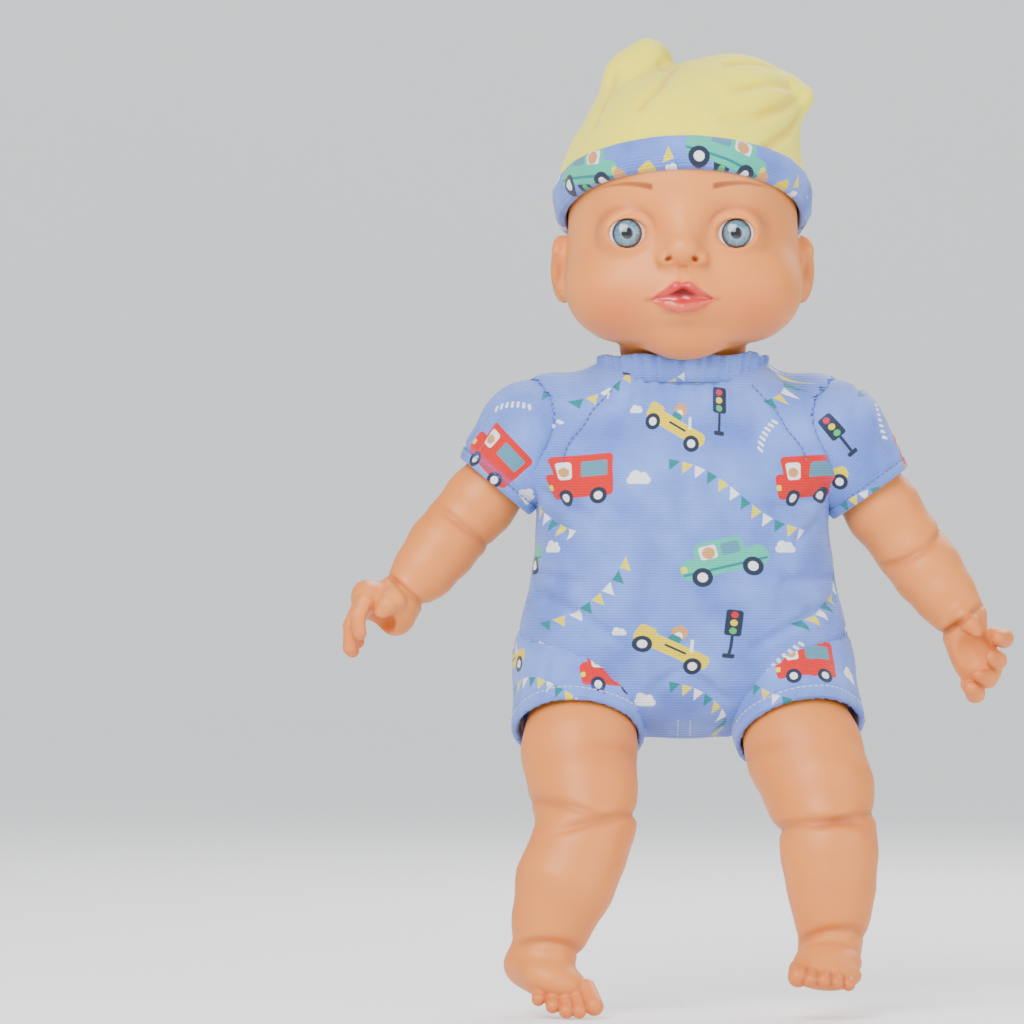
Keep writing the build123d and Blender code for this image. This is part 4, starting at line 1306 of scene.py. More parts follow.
def cloth_map(piece: bpy.types.Object, u: np.ndarray, v: np.ndarray, round_it: float) -> None:
    """Give a piece its cloth's flat coordinates.

    Args:
        piece: The mesh.
        u: Millimetres round the cloth at each point.
        v: Millimetres up the cloth at each point.
        round_it: Distance after which u starts again, so that no face spans the jump.
    """
    mesh = piece.data
    corner = np.zeros(len(mesh.loops), np.int32)
    mesh.loops.foreach_get("vertex_index", corner)
    starts, totals = np.zeros(len(mesh.polygons), np.int32), np.zeros(len(mesh.polygons), np.int32)
    mesh.polygons.foreach_get("loop_start", starts)
    mesh.polygons.foreach_get("loop_total", totals)
    around = u[corner]
    first = np.repeat(around[starts], totals)
    around = around + round_it * np.round((first - around) / round_it)
    layer = mesh.uv_layers.new(name="cloth")
    layer.data.foreach_set("uv", (np.stack([around, v[corner]], 1) * MM).astype(np.float32).ravel())


@dataclass
class Stitcher:
    """Sewing: runs of thread along lines, made by Geometry Nodes and kept as plain meshes."""

    thread: float = 0.28
    pitch: float = 2.2
    length: float = 1.6
    runs: dict[tuple[str, str], list[Points]] = field(default_factory=dict)
    bends: dict[str, tuple[str, list[float], list[float]]] = field(default_factory=dict)

    def sew(self, body: str, colour: str, line: Points) -> None:
        """Keep a line to be sewn on a body; line is in doll millimetres."""
        self.runs.setdefault((body, colour), []).append(np.asarray(line, float))

    @staticmethod
    def make_tree() -> bpy.types.NodeTree:
        """Stitches of one length, laid end to end along every edge line of the mesh."""
        tree = bpy.data.node_groups.new("running_stitch", "GeometryNodeTree")
        face = tree.interface
        face.new_socket("Geometry", in_out="INPUT", socket_type="NodeSocketGeometry")
        for name in ("Pitch", "Length", "Radius"):
            face.new_socket(name, in_out="INPUT", socket_type="NodeSocketFloat")
        face.new_socket("Thread", in_out="INPUT", socket_type="NodeSocketMaterial")
        face.new_socket("Geometry", in_out="OUTPUT", socket_type="NodeSocketGeometry")
        paper = Paper(tree)
        inside = paper.node("NodeGroupInput").outputs
        curve = paper.node("GeometryNodeMeshToCurve", {"Mesh": inside["Geometry"]}).outputs[0]
        spaced = paper.node("GeometryNodeResampleCurve", {"Curve": curve, "Length": inside["Pitch"]},
                            mode="LENGTH")
        size = {"Vertices": 6, "Side Segments": 2, "Radius": inside["Radius"], "Depth": inside["Length"]}
        stick = paper.node("GeometryNodeMeshCylinder", size).outputs[0]
        place = paper.node("GeometryNodeInputPosition").outputs[0]
        middle = paper.node("ShaderNodeSeparateXYZ", {0: place}).outputs[2]
        plump = paper.math("DIVIDE", paper.math("ABSOLUTE", middle), inside["Length"])
        shrink = paper.ramp(plump, 0.1, 0.5, 1.0, 0.45)
        scale = paper.node("ShaderNodeCombineXYZ", {0: shrink, 1: shrink, 2: 1.0}).outputs[0]
        round_ends = paper.node("GeometryNodeSetPosition", {
            "Geometry": stick, "Position": paper.vector("MULTIPLY", place, scale)}).outputs[0]
        tangent = paper.node("GeometryNodeInputTangent").outputs[0]
        turn = paper.node("FunctionNodeAlignRotationToVector", {"Vector": tangent}, axis="Z").outputs[0]
        placed = paper.node("GeometryNodeInstanceOnPoints", {
            "Points": spaced.outputs[0], "Instance": round_ends, "Rotation": turn}).outputs[0]
        real = paper.node("GeometryNodeRealizeInstances", {0: placed}).outputs[0]
        dressed_run = paper.node("GeometryNodeSetMaterial", {"Geometry": real, "Material": inside["Thread"]})
        paper.node("NodeGroupOutput", {0: dressed_run.outputs[0]})
        return tree

    def finish(self, threads: dict[str, bpy.types.Material]) -> None:
        """Sew every kept line, one mesh for each body and colour."""
        tree = self.make_tree()
        sockets = {item.name: item.identifier for item in tree.interface.items_tree if item.in_out == "INPUT"}
        for (body, colour), lines in self.runs.items():
            points = np.concatenate(lines)
            edges, start = [], 0
            for line in lines:
                edges += [(start + k, start + k + 1) for k in range(len(line) - 1)]
                start += len(line)
            mesh = bpy.data.meshes.new(f"{body}_{colour}_line")
            mesh.from_pydata(metres(points).tolist(), edges, [])
            guide = bpy.data.objects.new(mesh.name, mesh)
            bpy.context.scene.collection.objects.link(guide)
            made = guide.modifiers.new("stitches", "NODES")
            made.node_group = tree
            made[sockets["Pitch"]] = self.pitch * MM
            made[sockets["Length"]] = self.length * MM
            made[sockets["Radius"]] = self.thread * MM
            made[sockets["Thread"]] = threads[colour]
            bpy.context.view_layer.update()
            worked_out = guide.evaluated_get(bpy.context.evaluated_depsgraph_get())
            solid = bpy.data.meshes.new_from_object(worked_out)
            bpy.data.objects.remove(guide)
            run = bpy.data.objects.new(f"{body}_{colour}_stitches", solid)
            bpy.context.scene.collection.objects.link(run)
            if body in self.bends:
                other, start_at, end_at = self.bends[body]
                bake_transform(run)
                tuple(start_at)
                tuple(end_at)
            else:
                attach(run, body)
            LOG.info("%s: %d lines", run.name, len(lines))


def on_surface(form: Form, points: Points, lift: float, rounds: int = 12) -> Points:
    """Move points on to a form's surface, standing a little proud."""
    points = np.array(points, float)
    for _ in range(rounds):
        value = form(points) - lift
        slope = np.stack([form(points + np.eye(3)[n] * 0.05) - form(points - np.eye(3)[n] * 0.05)
                          for n in range(3)], 1) / 0.1
        points = points - (value / np.maximum((slope**2).sum(1), 0.3))[:, None] * slope * 0.8
    return points


def laid_on(form: Form, points: Sequence[Sequence[float]], radii: Sequence[float]) -> Limb:
    """A chain of rods whose middle line lies on a form's surface."""
    placed = on_surface(form, points, 0.15)
    return Limb(tuple(map(tuple, placed)), tuple(radii))


def curve_through(points: Sequence[Sequence[float]], count: int) -> Points:
    """A smooth line through a few points."""
    p = np.array(points, float)
    p = np.concatenate([[2 * p[0] - p[1]], p, [2 * p[-1] - p[-2]]])
    out = []
    for t in np.linspace(0, len(p) - 3 - 1e-6, count):
        k, f = int(t), t - int(t)
        a, b, c, d = p[k:k + 4]
        bend, twist = 2 * a - 5 * b + 4 * c - d, 3 * b - a - 3 * c + d
        out.append(0.5 * (2 * b + (c - a) * f + bend * f**2 + twist * f**3))
    return np.array(out)


def ring_points(centre: Sequence[float], axis: Sequence[float], radius: float, count: int = 90) -> Points:
    """A closed circle about an axis."""
    way = Vector(axis).normalized()
    side = way.orthogonal().normalized()
    turns = np.linspace(0, 2 * math.pi, count + 1)[:, None]
    ring = np.cos(turns) * np.array(side) + np.sin(turns) * np.array(way.cross(side))
    return np.array(centre) + radius * ring


@dataclass(frozen=True)
class Fold:
    """A soft pull line in the knit."""

    points: tuple[tuple[float, float, float], ...]
    radius: float = 1.0
    melt: float = 3.5


@dataclass
class Romper:
    """Printed short romper over the stuffed body: trunk, two sleeves and two shorts legs."""

    stitcher: Stitcher
    sleeve_ball: float = 20.7
    sleeve_hem: dict[str, float] = field(default_factory=lambda: {"right": 23.0, "left": 25.0})
    leg_ball: float = 25.6
    hem_centre: dict[str, tuple[float, float, float]] = field(default_factory=lambda: {
        "right": (-38.2, -17.8, 99.6), "left": (42.0, -17.8, 99.6)})
    van_height: float = 191.0

    def trunk_form(self) -> Sculpt:
        """Body of the romper with the sockets for its sleeves and legs."""
        clay = Sculpt().add(Trunk())
        clay.add(Limb(((-46.5, 1.0, 212.0), (46.5, 1.0, 212.0)), (18.6, 18.6)), 12)
        for s in (-1, 1):
            clay.add(Ball((s * 43, 0, 200), (11, 21, 20)), 9)
            clay.add(self.raglan(s), 4)
        clay.sink(Stuffing())
        for fold in self.folds():
            clay.carve(laid_on(clay, fold.points, self.taper(fold)), fold.melt)
        for s, front in ((-1, -1), (1, -1), (-1, 1), (1, 1)):
            seam = curve_through(self.raglan_line(s, front), 9)
            clay.carve(laid_on(clay, seam, (0.45,) * len(seam)), 1.2)
        for s in (-1, 1):
            clay.carve(Ball((s * SHOULDER[0], SHOULDER[1], SHOULDER[2]), (self.sleeve_ball + 0.4,) * 3))
            clay.carve(Ball((s * HIP[0], HIP[1], HIP[2]), (self.leg_ball + 0.4,) * 3))
        return clay

    @staticmethod
    def raglan_line(s: int, front: int) -> tuple[tuple[float, float, float], ...]:
        """Points of the seam from the collar to the armpit."""
        depth = front * 27
        return ((s * 28, depth, 229), (s * 34, depth, 219.5), (s * 39.5, depth, 209.5),
                (s * 44.5, front * 24, 199))

    def raglan(self, s: int) -> Sculpt:
        """Cloth of the trunk that laps over a sleeve's round head as far as the raglan seam."""
        centre = (s * SHOULDER[0], SHOULDER[1], SHOULDER[2])
        lap = Sculpt().add(Ball(centre, (self.sleeve_ball + 1.9,) * 3))
        seam = np.array([s * 0.837, 0.0, 0.547])
        lap.keep(HalfSpace(tuple(np.array(centre) - seam * 6.5), tuple(seam)), 1.5)
        lap.middle, lap.size = np.array(centre), self.sleeve_ball + 3
        return lap

    @staticmethod
    def taper(fold: Fold) -> tuple[float, ...]:
        """Radii that fade to nothing at both ends of a fold."""
        n = len(fold.points)
        return tuple(0.15 + fold.radius * math.sin(math.pi * (k + 0.35) / (n - 0.3)) for k in range(n))

    @staticmethod
    def folds() -> tuple[Fold, ...]:
        """Pull lines at the armpits, the waist, the hips and the neck."""
        lines = [
            Fold(((-50, -17, 186), (-44, -26, 181), (-36, -33.0, 179)), 0.9),
            Fold(((-50, -16, 179), (-43, -27, 172)), 0.7),
            Fold(((50, -17, 186), (43, -27, 183), (35, -33.0, 182)), 0.9),
            Fold(((50, -16, 178), (42, -28, 170)), 0.7),
            Fold(((-52, -14, 150), (-46, -25, 147), (-36, -34, 140), (-24, -36.5, 133)), 1.1),
            Fold(((53, -12, 148), (47, -24, 144), (37, -33, 137), (26, -36, 131)), 1.1),
            Fold(((-53, -12, 158), (-47, -24, 156), (-39, -32, 154)), 0.8),
            Fold(((53, -12, 157), (47, -24, 156), (38, -32, 155)), 0.8),
            Fold(((-14, -31, 112), (-9, -33, 118), (-3, -34.5, 122)), 0.9),
            Fold(((15, -31, 111), (9, -33, 116), (4, -34.5, 120)), 0.9),
            Fold(((-21, -25.5, 229), (-21.5, -27.5, 222), (-24, -29.5, 214)), 1.1, 2.6),
        ]
        for x in (-14, -8, -2, 5, 11, 17):
            depth = -24.6 - 0.02 * (17 - abs(x)) ** 1.5
            gather = ((x, depth, 230), (x * 1.05, depth - 1.6, 223), (x * 1.1, depth - 3.6, 217))
            lines.append(Fold(gather, 0.55, 2.0))
        for s in (-1, 1):
            lines.append(Fold(((s * 50, 17, 186), (s * 42, 27, 181), (s * 32, 33, 179)), 0.8))
            lines.append(Fold(((s * 52, 14, 150), (s * 44, 27, 146), (s * 33, 33, 140)), 0.9))
        return tuple(lines)

    def build_trunk(self) -> None:
        """Mesh, map and dress the body."""
        form = self.trunk_form()
        axes = [graded_axis(-66, 66, 1.2, 0.8, (-54, -36), (36, 54)), graded_axis(-42, 40, 1.0),
                graded_axis(95, 236, 1.2, 0.85, (188, 226))]
        points, faces = skin_of(form, axes)
        trunk = new_piece("romper_trunk", points, faces)
        u, v = self.trunk_map(points)
        cloth_map(trunk, u, v, 2 * float(self.oval_length(np.array([math.pi]))[0]))
        paint(trunk, fold=self.crease_dark(points))
        trunk.data.materials.append(PrintFinish("romper_print", tile=(81.0, 80.0), shift=(37.0, 0.0)).build())
        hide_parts("romper_body")
        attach(trunk, "torso")
        LOG.info("trunk: %d points", len(points))
        self.sew_trunk(form)

    @staticmethod
    def oval_length(turn: np.ndarray, wide: float = 52.0, flat: float = 0.63) -> np.ndarray:
        """Distance round an oval from its front to an angle."""
        steps = np.linspace(-math.pi, math.pi, 721)
        rate = np.sqrt(np.cos(steps) ** 2 + (flat * np.sin(steps)) ** 2) * wide
        total = np.concatenate([[0.0], np.cumsum((rate[1:] + rate[:-1]) / 2 * np.diff(steps))])
        return np.interp(turn, steps, total - total[360])

    def trunk_map(self, p: Points) -> tuple[np.ndarray, np.ndarray]:
        """Cloth coordinates of the trunk's points."""
        rows = np.array(Trunk().sections)
        wide = np.interp(p[:, 2], rows[:, 0], np.maximum(rows[:, 1], 44))
        deep = np.interp(p[:, 2], rows[:, 0], np.maximum(rows[:, 2], 27))
        return self.oval_length(np.arctan2(p[:, 0] / wide, -p[:, 1] / deep)), p[:, 2] - self.van_height

    def crease_dark(self, p: Points) -> np.ndarray:
        """Shade kept in the folds and seams of the trunk."""
        dark = np.zeros(len(p))
        for fold in self.folds():
            dark += 0.5 * np.exp(-(np.maximum(Limb(fold.points, self.taper(fold))(p) + 0.6, 0) / 1.1) ** 2)
        for s in (-1, 1):
            for centre, radius in ((SHOULDER, self.sleeve_ball), (HIP, self.leg_ball)):
                away = np.linalg.norm(p - np.array([s * centre[0], centre[1], centre[2]]), axis=1) - radius
                dark += 0.55 * np.exp(-(np.maximum(away - 0.5, 0) / 1.6) ** 2)
        return np.clip(dark, 0, 1)

    @staticmethod
    def smoothed(line: Points, span: int = 11) -> Points:
        """A line with its wobble averaged out."""
        padded = np.pad(line, ((span // 2, span // 2), (0, 0)), mode="reflect", reflect_type="odd")
        return np.stack([np.convolve(padded[:, n], np.ones(span) / span, "valid") for n in range(3)], 1)

    def sew_trunk(self, form: Form) -> None:
        """Raglan seams from the neck to the sleeves, front and back, and the crotch seam."""
        for s in (-1, 1):
            for front in (-1, 1):
                rough = curve_through(self.raglan_line(s, front), 48)
                line = self.smoothed(on_surface(form, rough, 0.3))
                outside = np.linalg.norm(line - np.array([s * SHOULDER[0], SHOULDER[1], SHOULDER[2]]), axis=1)
                self.stitcher.sew("torso", "navy", line[outside > self.sleeve_ball + 1.2])
        for offset in (-2.2, 2.2):
            under = ((-24, 104), (-12, 99), (2, 98), (15, 102))
            rough = curve_through([(offset, y, z) for y, z in under], 50)
            self.stitcher.sew("torso", "white", on_surface(form, rough, 0.1))

    def build_sleeve(self, side: str) -> None:
        """One short sleeve: a round head in the trunk's socket and a hemmed tube."""
        s, hem = SIDES[side], self.sleeve_hem[side]
        centre = np.array([s * SHOULDER[0], SHOULDER[1], SHOULDER[2]])
        way = np.array(arm_way(side))
        angle = math.radians(ARM_ANGLE[side])
        across = np.array([math.cos(angle), 0, s * math.sin(angle)])
        end = tuple(centre + way * (hem + 8))
        clay = Sculpt().add(Ball(tuple(centre), (self.sleeve_ball,) * 3))
        clay.add(Limb((tuple(centre), tuple(centre + way * 12), end), (19.4, 18.9, 15.4)), 3)
        clay.sink(Stuffing(0.35))
        for around, reach in ((-0.5, 14), (0.35, 11), (2.4, 13), (3.6, 15)):
            out = across * -s * math.cos(around) + np.array([0, -1, 0]) * math.sin(around)
            start, stop = centre + out * 20.5 + way * (reach - 9), centre + out * 17.2 + way * (reach + 8)
            clay.carve(laid_on(clay, (start, (start + stop) / 2 + out, stop), (0.1, 0.7, 0.1)), 3.0)
        clay.crease(tuple(centre + way * (hem - 4.5)), tuple(way), 0.7, 0.45, reach=40)
        clay.keep(HalfSpace(tuple(centre + way * hem), tuple(way)), 1.0)
        clay.carve(Limb((tuple(centre + way * (hem - 5)), tuple(centre + way * (hem + 20))), (14.6, 14.6)))
        low, high = centre - 23, centre + 23
        high, low = np.maximum(high, centre + way * hem + 17), np.minimum(low, centre + way * hem - 17)
        points, faces = skin_of(clay, [graded_axis(low[n], high[n], 1.1) for n in range(3)])
        sleeve = new_piece(f"{side}_sleeve_knit", points, faces)
        q = points - centre
        turn = np.arctan2(q @ across, -q[:, 1])
        cloth_map(sleeve, 18.5 * turn, -(q @ way), 2 * math.pi * 18.5)
        # Painted shade along the hem's crease and towards the sleeve's head where it sinks into the trunk.
        line = np.exp(-(((q @ way) - (hem - 4.5)) / 0.9) ** 2)
        paint(sleeve, fold=np.clip(0.5 * line + smooth_step(-(q @ way), 1, 14) * 0.35, 0, 1))
        shift = {"right": (4.0, 16.0), "left": (-28.0, 26.0)}[side]
        sleeve.data.materials.append(PrintFinish(f"{side}_sleeve_print", shift=shift, turn=-s * 12).build())
        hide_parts(f"{side}_sleeve")
        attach(sleeve, f"{side}_sleeve_end")
        rough = ring_points(centre + way * (hem - 3.6), way, 17.0)
        self.stitcher.sew(f"{side}_sleeve_end", "navy", on_surface(clay, rough, 0.05))
        LOG.info("%s sleeve: %d points", side, len(points))

    def build_leg(self, side: str) -> None:
        """One shorts leg: a round seat in the trunk's socket and a hemmed tube."""
        s = SIDES[side]
        centre = np.array([s * HIP[0], HIP[1], HIP[2]])
        hem = np.array(self.hem_centre[side])
        way = (hem - centre) / np.linalg.norm(hem - centre)
        reach = float(np.linalg.norm(hem - centre))
        clay = Sculpt().add(Ball(tuple(centre), (self.leg_ball,) * 3))
        clay.add(Limb((tuple(centre), tuple(centre + way * 14), tuple(hem + way * 8)), (25.1, 25.0, 23.4)), 4)
        clay.sink(Stuffing(0.45))
        for x, z in ((-13, 128), (-2, 131), (9, 129)):
            top = np.array([centre[0] + x, -25.5, z])
            foot = np.array([centre[0] + x * 1.2, -31.0, z - 10])
            clay.carve(laid_on(clay, (top, (top + foot) / 2, foot), (0.1, 0.45, 0.1)), 3.0)
        clay.crease(tuple(centre + way * (reach - 5.5)), tuple(way), 0.7, 0.5, reach=50)
        clay.keep(HalfSpace(tuple(hem), tuple(way)), 1.0)
        clay.carve(Limb((tuple(hem - way * 5), tuple(hem + way * 24)), (21.7, 21.7)))
        low, high = np.minimum(centre - 30, hem - 27), np.maximum(centre + 30, hem + 27)
        points, faces = skin_of(clay, [graded_axis(low[n], high[n], 1.25) for n in range(3)])
        leg = new_piece(f"{side}_shorts_knit", points, faces)
        q = points - centre
        side_way = np.cross(way, np.array([0.0, 1.0, 0.0]))
        side_way = side_way / np.linalg.norm(side_way)
        front = np.cross(way, side_way)
        turn = np.arctan2(q @ side_way, q @ front)
        cloth_map(leg, 25.5 * turn, -(q @ way), 2 * math.pi * 25.5)
        # Painted shade along the hem's crease and over the seat where the leg sinks into the trunk.
        line = np.exp(-(((q @ way) - (reach - 5.5)) / 0.9) ** 2)
        paint(leg, fold=np.clip(0.5 * line + smooth_step(-(q @ way), -4, 14) * 0.35, 0, 1))
        shift = {"right": (-7.6, 18.6), "left": (-10.4, 15.4)}[side]
        leg.data.materials.append(PrintFinish(f"{side}_shorts_print", shift=shift, turn=s * 8).build())
        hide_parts(f"{side}_shorts_leg")
        bend = (metres(centre + way * 12.0).tolist(), metres(hem - way * 2.0).tolist())
        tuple(bend[0])
        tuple(bend[1])
        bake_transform(leg)
        self.stitcher.bends[f"{side}_shorts_end"] = (f"{side}_leg", *bend)
        rough = ring_points(centre + way * (reach - 4.4), way, 25.0, 120)
        self.stitcher.sew(f"{side}_shorts_end", "white", on_surface(clay, rough, 0.05))
        out = np.array([s, 0.0, 0.0]) - way * float(way[0] * s)
        seam = np.array([centre + way * t + out * 26.5 for t in np.linspace(2, reach - 1, 24)])
        self.stitcher.sew(f"{side}_shorts_end", "white", on_surface(clay, seam, 0.05))
        LOG.info("%s shorts leg: %d points", side, len(points))

    def build_collar(self) -> None:
        """Gathered stand-up collar: a pleated band round the neck."""
        count = 300
        rows = ((0.0, 1.0), (3.0, 1.35), (6.5, 1.5), (9.2, 1.25), (10.0, 0.6), (9.6, -0.3), (6.5, -0.9),
                (3.0, -0.9), (0.0, -0.8))
        points, turns, heights = [], [], []
        for height, out in rows:
            for k in range(count):
                a = 2 * math.pi * k / count
                gather = 0.75 * math.sin(38 * a) + 0.35 * math.sin(61 * a + 1.0)
                lift = 1.4 * math.exp(-((a - 0.95) / 0.14) ** 2) * height / 10
                wave = 0.35 * math.sin(9 * a + 0.4) * height / 10
                radius = 1.0 + (out + gather * min(1.0, 0.35 + height / 14)) / 27.0
                radius *= 1.0 + 0.035 * (height / 10) ** 2
                points.append((28.4 * radius * math.sin(a), -26.9 * radius * math.cos(a) + 0.2,
                               226.6 + height + lift + wave))
                turns.append(27.5 * a)
                heights.append(height if out > 0 else 20 - height)
        collar = new_piece("collar_knit", points, ring_faces(len(rows), count, closed=True))
        facing_out(collar)
        cloth_map(collar, np.array(turns) * 1.3, np.array(heights), 2 * math.pi * 27.5 * 1.3)
        # Painted shade along the collar's bottom edge by the body, and a little over the rest.
        paint(collar, fold=[0.5 if h < 1.5 else 0.1 for h in heights])
        collar.data.materials.append(PrintFinish("collar_print", shift=(12.0, 30.0), pitch=0.8).build())
        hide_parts("romper_collar")
        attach(collar, "torso")

    def build(self) -> None:
        """Make the whole romper."""
        self.build_trunk()
        self.build_collar()
        for side in SIDES:
            self.build_sleeve(side)
            self.build_leg(side)


# ---------------------------------------------------------------- hat
@dataclass(frozen=True)
class KnitFinish:
    """Plain fine rib knit of one colour, with painted shade in the rib's valleys and in the folds."""

    name: str
    ground: Colour = (0.98, 0.88, 0.03)
    shade: Colour = (0.88, 0.60, 0.002)
    pitch: float = 0.8

    def build(self) -> bpy.types.Material:
        """Make the material."""
        material, paper, shader = dressed(self.name, Gloss(0.7, specular=0.25, sheen=0.3))
        place = paper.vector("SCALE", paper.node("ShaderNodeUVMap", uv_map="cloth").outputs[0], 1000.0)
        inputs = {"Vector": place, "Rotation": (0, 0, math.radians(78))}
        turned = paper.node("ShaderNodeMapping", inputs).outputs[0]
        rib = paper.group(SHARED.rib, Place=turned, Pitch=self.pitch, Depth=0.0001)
        # Painted shade in the rib's valleys, then in the folds from the fold mask.
        colour = paper.mix(paper.ramp(rib["Shade"], 0.0, 0.5, 0.35, 0.0), self.ground, self.shade)
        colour = paper.mix(paper.mask("fold"), colour, self.shade)
        paper.coat(shader, colour, paper.group(SHARED.wear, Base=0.7, Spread=0.12)[0], rib["Normal"])
        return material


@dataclass(frozen=True)
class Shell:
    """The skin between two offsets of a ball."""

    ball: Ball
    inner: float
    outer: float

    @property
    def size(self) -> float:
        """Farthest point from the middle."""
        return self.ball.size + self.outer

    @property
    def middle(self) -> Points:
        """Centre as an array."""
        return self.ball.middle

    def __call__(self, p: Points) -> np.ndarray:
        """Signed distance."""
        d = self.ball(p)
        return np.maximum(d - self.outer, self.inner - d)


@dataclass
class Hat:
    """Lemon knit hat with two gathered corners and a folded printed band."""

    lean: float = 19.5
    opening: tuple[float, float, float] = (0.0, -4.0, 286.5)
    inside: Ball = Ball((0.0, -2.4, 288.2), (43.4, 47.9, 49.8))
    rim: Ball = Ball((0.0, -2.2, 288.3), (41.9, 46.9, 48.9))

    @property
    def up(self) -> tuple[float, float, float]:
        """Direction square to the opening, towards the crown."""
        return (0.0, math.sin(math.radians(self.lean)), math.cos(math.radians(self.lean)))

    def grooves(self) -> tuple[tuple[Limb, float], ...]:
        """Folds that run from the two gathered corners."""
        runs = (
            (((40, -10, 329), (34, -22, 325), (26, -33, 322), (14, -41, 321)), 0.9, 3.5),
            (((41, -8, 325), (37, -20, 317), (30, -32, 311), (24, -40, 307)), 0.8, 3.0),
            (((38, -12, 333), (29, -22, 333), (18, -31, 332)), 0.8, 3.5),
            (((37, -6, 340), (27, -14, 342), (15, -19, 341)), 0.8, 4.0),
            (((44, -2, 325), (43.5, -8, 314), (42, -16, 304)), 0.8, 3.0),
            (((-6, -4, 345), (-4, -14, 339), (-8, -26, 332), (-16, -34, 324)), 0.9, 4.5),
            (((-24, -2, 338), (-28, -12, 328), (-31, -22, 318)), 0.7, 4.0),
            (((2, -2, 343), (6, 10, 338), (6, 24, 330)), 0.8, 4.5),
            (((36, 8, 334), (28, 20, 330), (16, 31, 322)), 0.8, 4.0),
            (((-20, 14, 338), (-22, 26, 328), (-20, 36, 316)), 0.7, 4.5),
        )
        grooves = []
        for points, radius, melt in runs:
            n = len(points)
            radii = tuple(0.15 + radius * math.sin(math.pi * (k + 0.6) / n) for k in range(n))
            grooves.append((Limb(points, radii), melt))
        return tuple(grooves)

    def crown_form(self) -> Sculpt:
        """Outer shape, folds and the room for the head."""
        clay = Sculpt().add(Ball((0.0, -2.5, 289.0), (46.1, 50.6, 52.2)))
        clay.add(Ball((17, -2, 323.8), (26, 30, 22.6)), 8)
        clay.add(Limb(((-20, 4, 322), (-17, 5, 337), (-12.5, 6, 343.6)), (14.0, 11.0, 8.8), 4.0), 4)
        clay.add(Limb(((28, -2, 326), (37, -4, 331), (43, -5, 330.5)), (13.0, 8.0, 4.6), 3.0), 4)
        clay.sink(Stuffing(0.5))
        for groove, melt in self.grooves():
            clay.carve(laid_on(clay, groove.points, groove.radii), melt)
        clay.carve(self.inside)
        clay.add(Shell(self.inside, 0.35, 1.5))
        up = np.array(self.up)
        clay.keep(HalfSpace(tuple(np.array(self.opening) + up * 3.0), tuple(-up)))
        return clay

    def build(self) -> None:
        """Make the crown and the band."""
        form = self.crown_form()
        axes = [graded_axis(-50, 53, 1.1), graded_axis(-56, 52, 1.1), graded_axis(268, 356, 1.1)]
        points, faces = skin_of(form, axes)
        crown = new_piece("hat_crown_knit", points, faces)
        turn = np.arctan2(points[:, 0], -points[:, 1])
        cloth_map(crown, 44.0 * turn, points[:, 2] + 0.35 * points[:, 1], 2 * math.pi * 44.0)
        # Painted shade along the grooves of the crown.
        dark = sum(0.75 * np.exp(-(np.maximum(groove(points) + 0.5, 0) / 1.5) ** 2)
                   for groove, _ in self.grooves())
        paint(crown, fold=np.clip(dark, 0, 0.9))
        crown.data.materials.append(KnitFinish("hat_knit").build())
        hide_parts("hat_crown")
        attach(crown, "hat")
        self.build_band()

    def build_band(self) -> None:
        """Turned-up band: a loop with round top and bottom folds."""
        count, up = 240, np.array(self.up)
        base = np.array(self.opening)
        front = np.array([0.0, -math.cos(math.radians(self.lean)), math.sin(math.radians(self.lean))])
        rows = ((0.0, 0.9), (0.2, 2.4), (1.2, 3.6), (4.0, 4.9), (7.5, 5.5), (10.2, 5.8), (11.5, 5.4),
                (11.9, 4.2), (11.2, 1.0), (7.5, 0.5), (4.0, 0.4), (1.0, 0.4))
        points, turns, heights = [], [], []
        for height, out in rows:
            for k in range(count):
                a = 2 * math.pi * k / count
                way = math.sin(a) * np.array([1.0, 0, 0]) + math.cos(a) * front
                middle = base + up * height
                ray = self.out_to_head(middle, way)
                ripple = 0.25 * math.sin(7 * a + 0.7 * height) + 0.15 * math.sin(23 * a)
                points.append(tuple(middle + way * (ray + out + ripple * min(1.0, out / 2))))
                turns.append(48.0 * a)
                heights.append(height if out > 0.7 else 24 - height)
        band = new_piece("hat_band_knit", points, ring_faces(len(rows), count, closed=True))
        facing_out(band)
        cloth_map(band, np.array(turns), -np.array(heights), 2 * math.pi * 48.0)
        # Painted shade along the band's top fold and its bottom edge.
        paint(band, fold=[0.6 if h > 11.2 or h < 0.2 else 0.0 for h in heights])
        finish = PrintFinish("band_print", tile=(75.4, 60.0), shift=(-12.0, -34.0), turn=180.0, scale=0.92)
        band.data.materials.append(finish.build())
        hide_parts("hat_band")
        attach(band, "hat")

    def out_to_head(self, middle: np.ndarray, way: np.ndarray) -> float:
        """Distance along a ray from the hat's axis to the head."""
        semi = np.array(self.rim.semi)
        p, d = (middle - np.array(self.rim.centre)) / semi, way / semi
        a, b, c = d @ d, 2 * p @ d, p @ p - 1.0
        return float((-b + math.sqrt(max(b * b - 4 * a * c, 0.0))) / (2 * a))


# ---------------------------------------------------------------- carried-over parts
@dataclass(frozen=True)
class SolidFinish:
    """Moulded plastic, rubber or resin: even colour with moulding haze, grain and handling wear."""

    name: str
    colour: Colour
    roughness: float = 0.45
    grain: float = 0.00003

    def build(self) -> bpy.types.Material:
        """Make the material."""
        material, paper, shader = dressed(self.name, Gloss(self.roughness))
        grain = paper.group(SHARED.grain, Scale=1400.0, Depth=self.grain)
        darker = tuple(0.82 * c for c in self.colour)
        wear = paper.group(SHARED.wear, Base=self.roughness, Spread=0.2)[0]
        paper.coat(shader, paper.mix(grain["Shade"], self.colour, darker), wear, grain["Normal"])
        return material


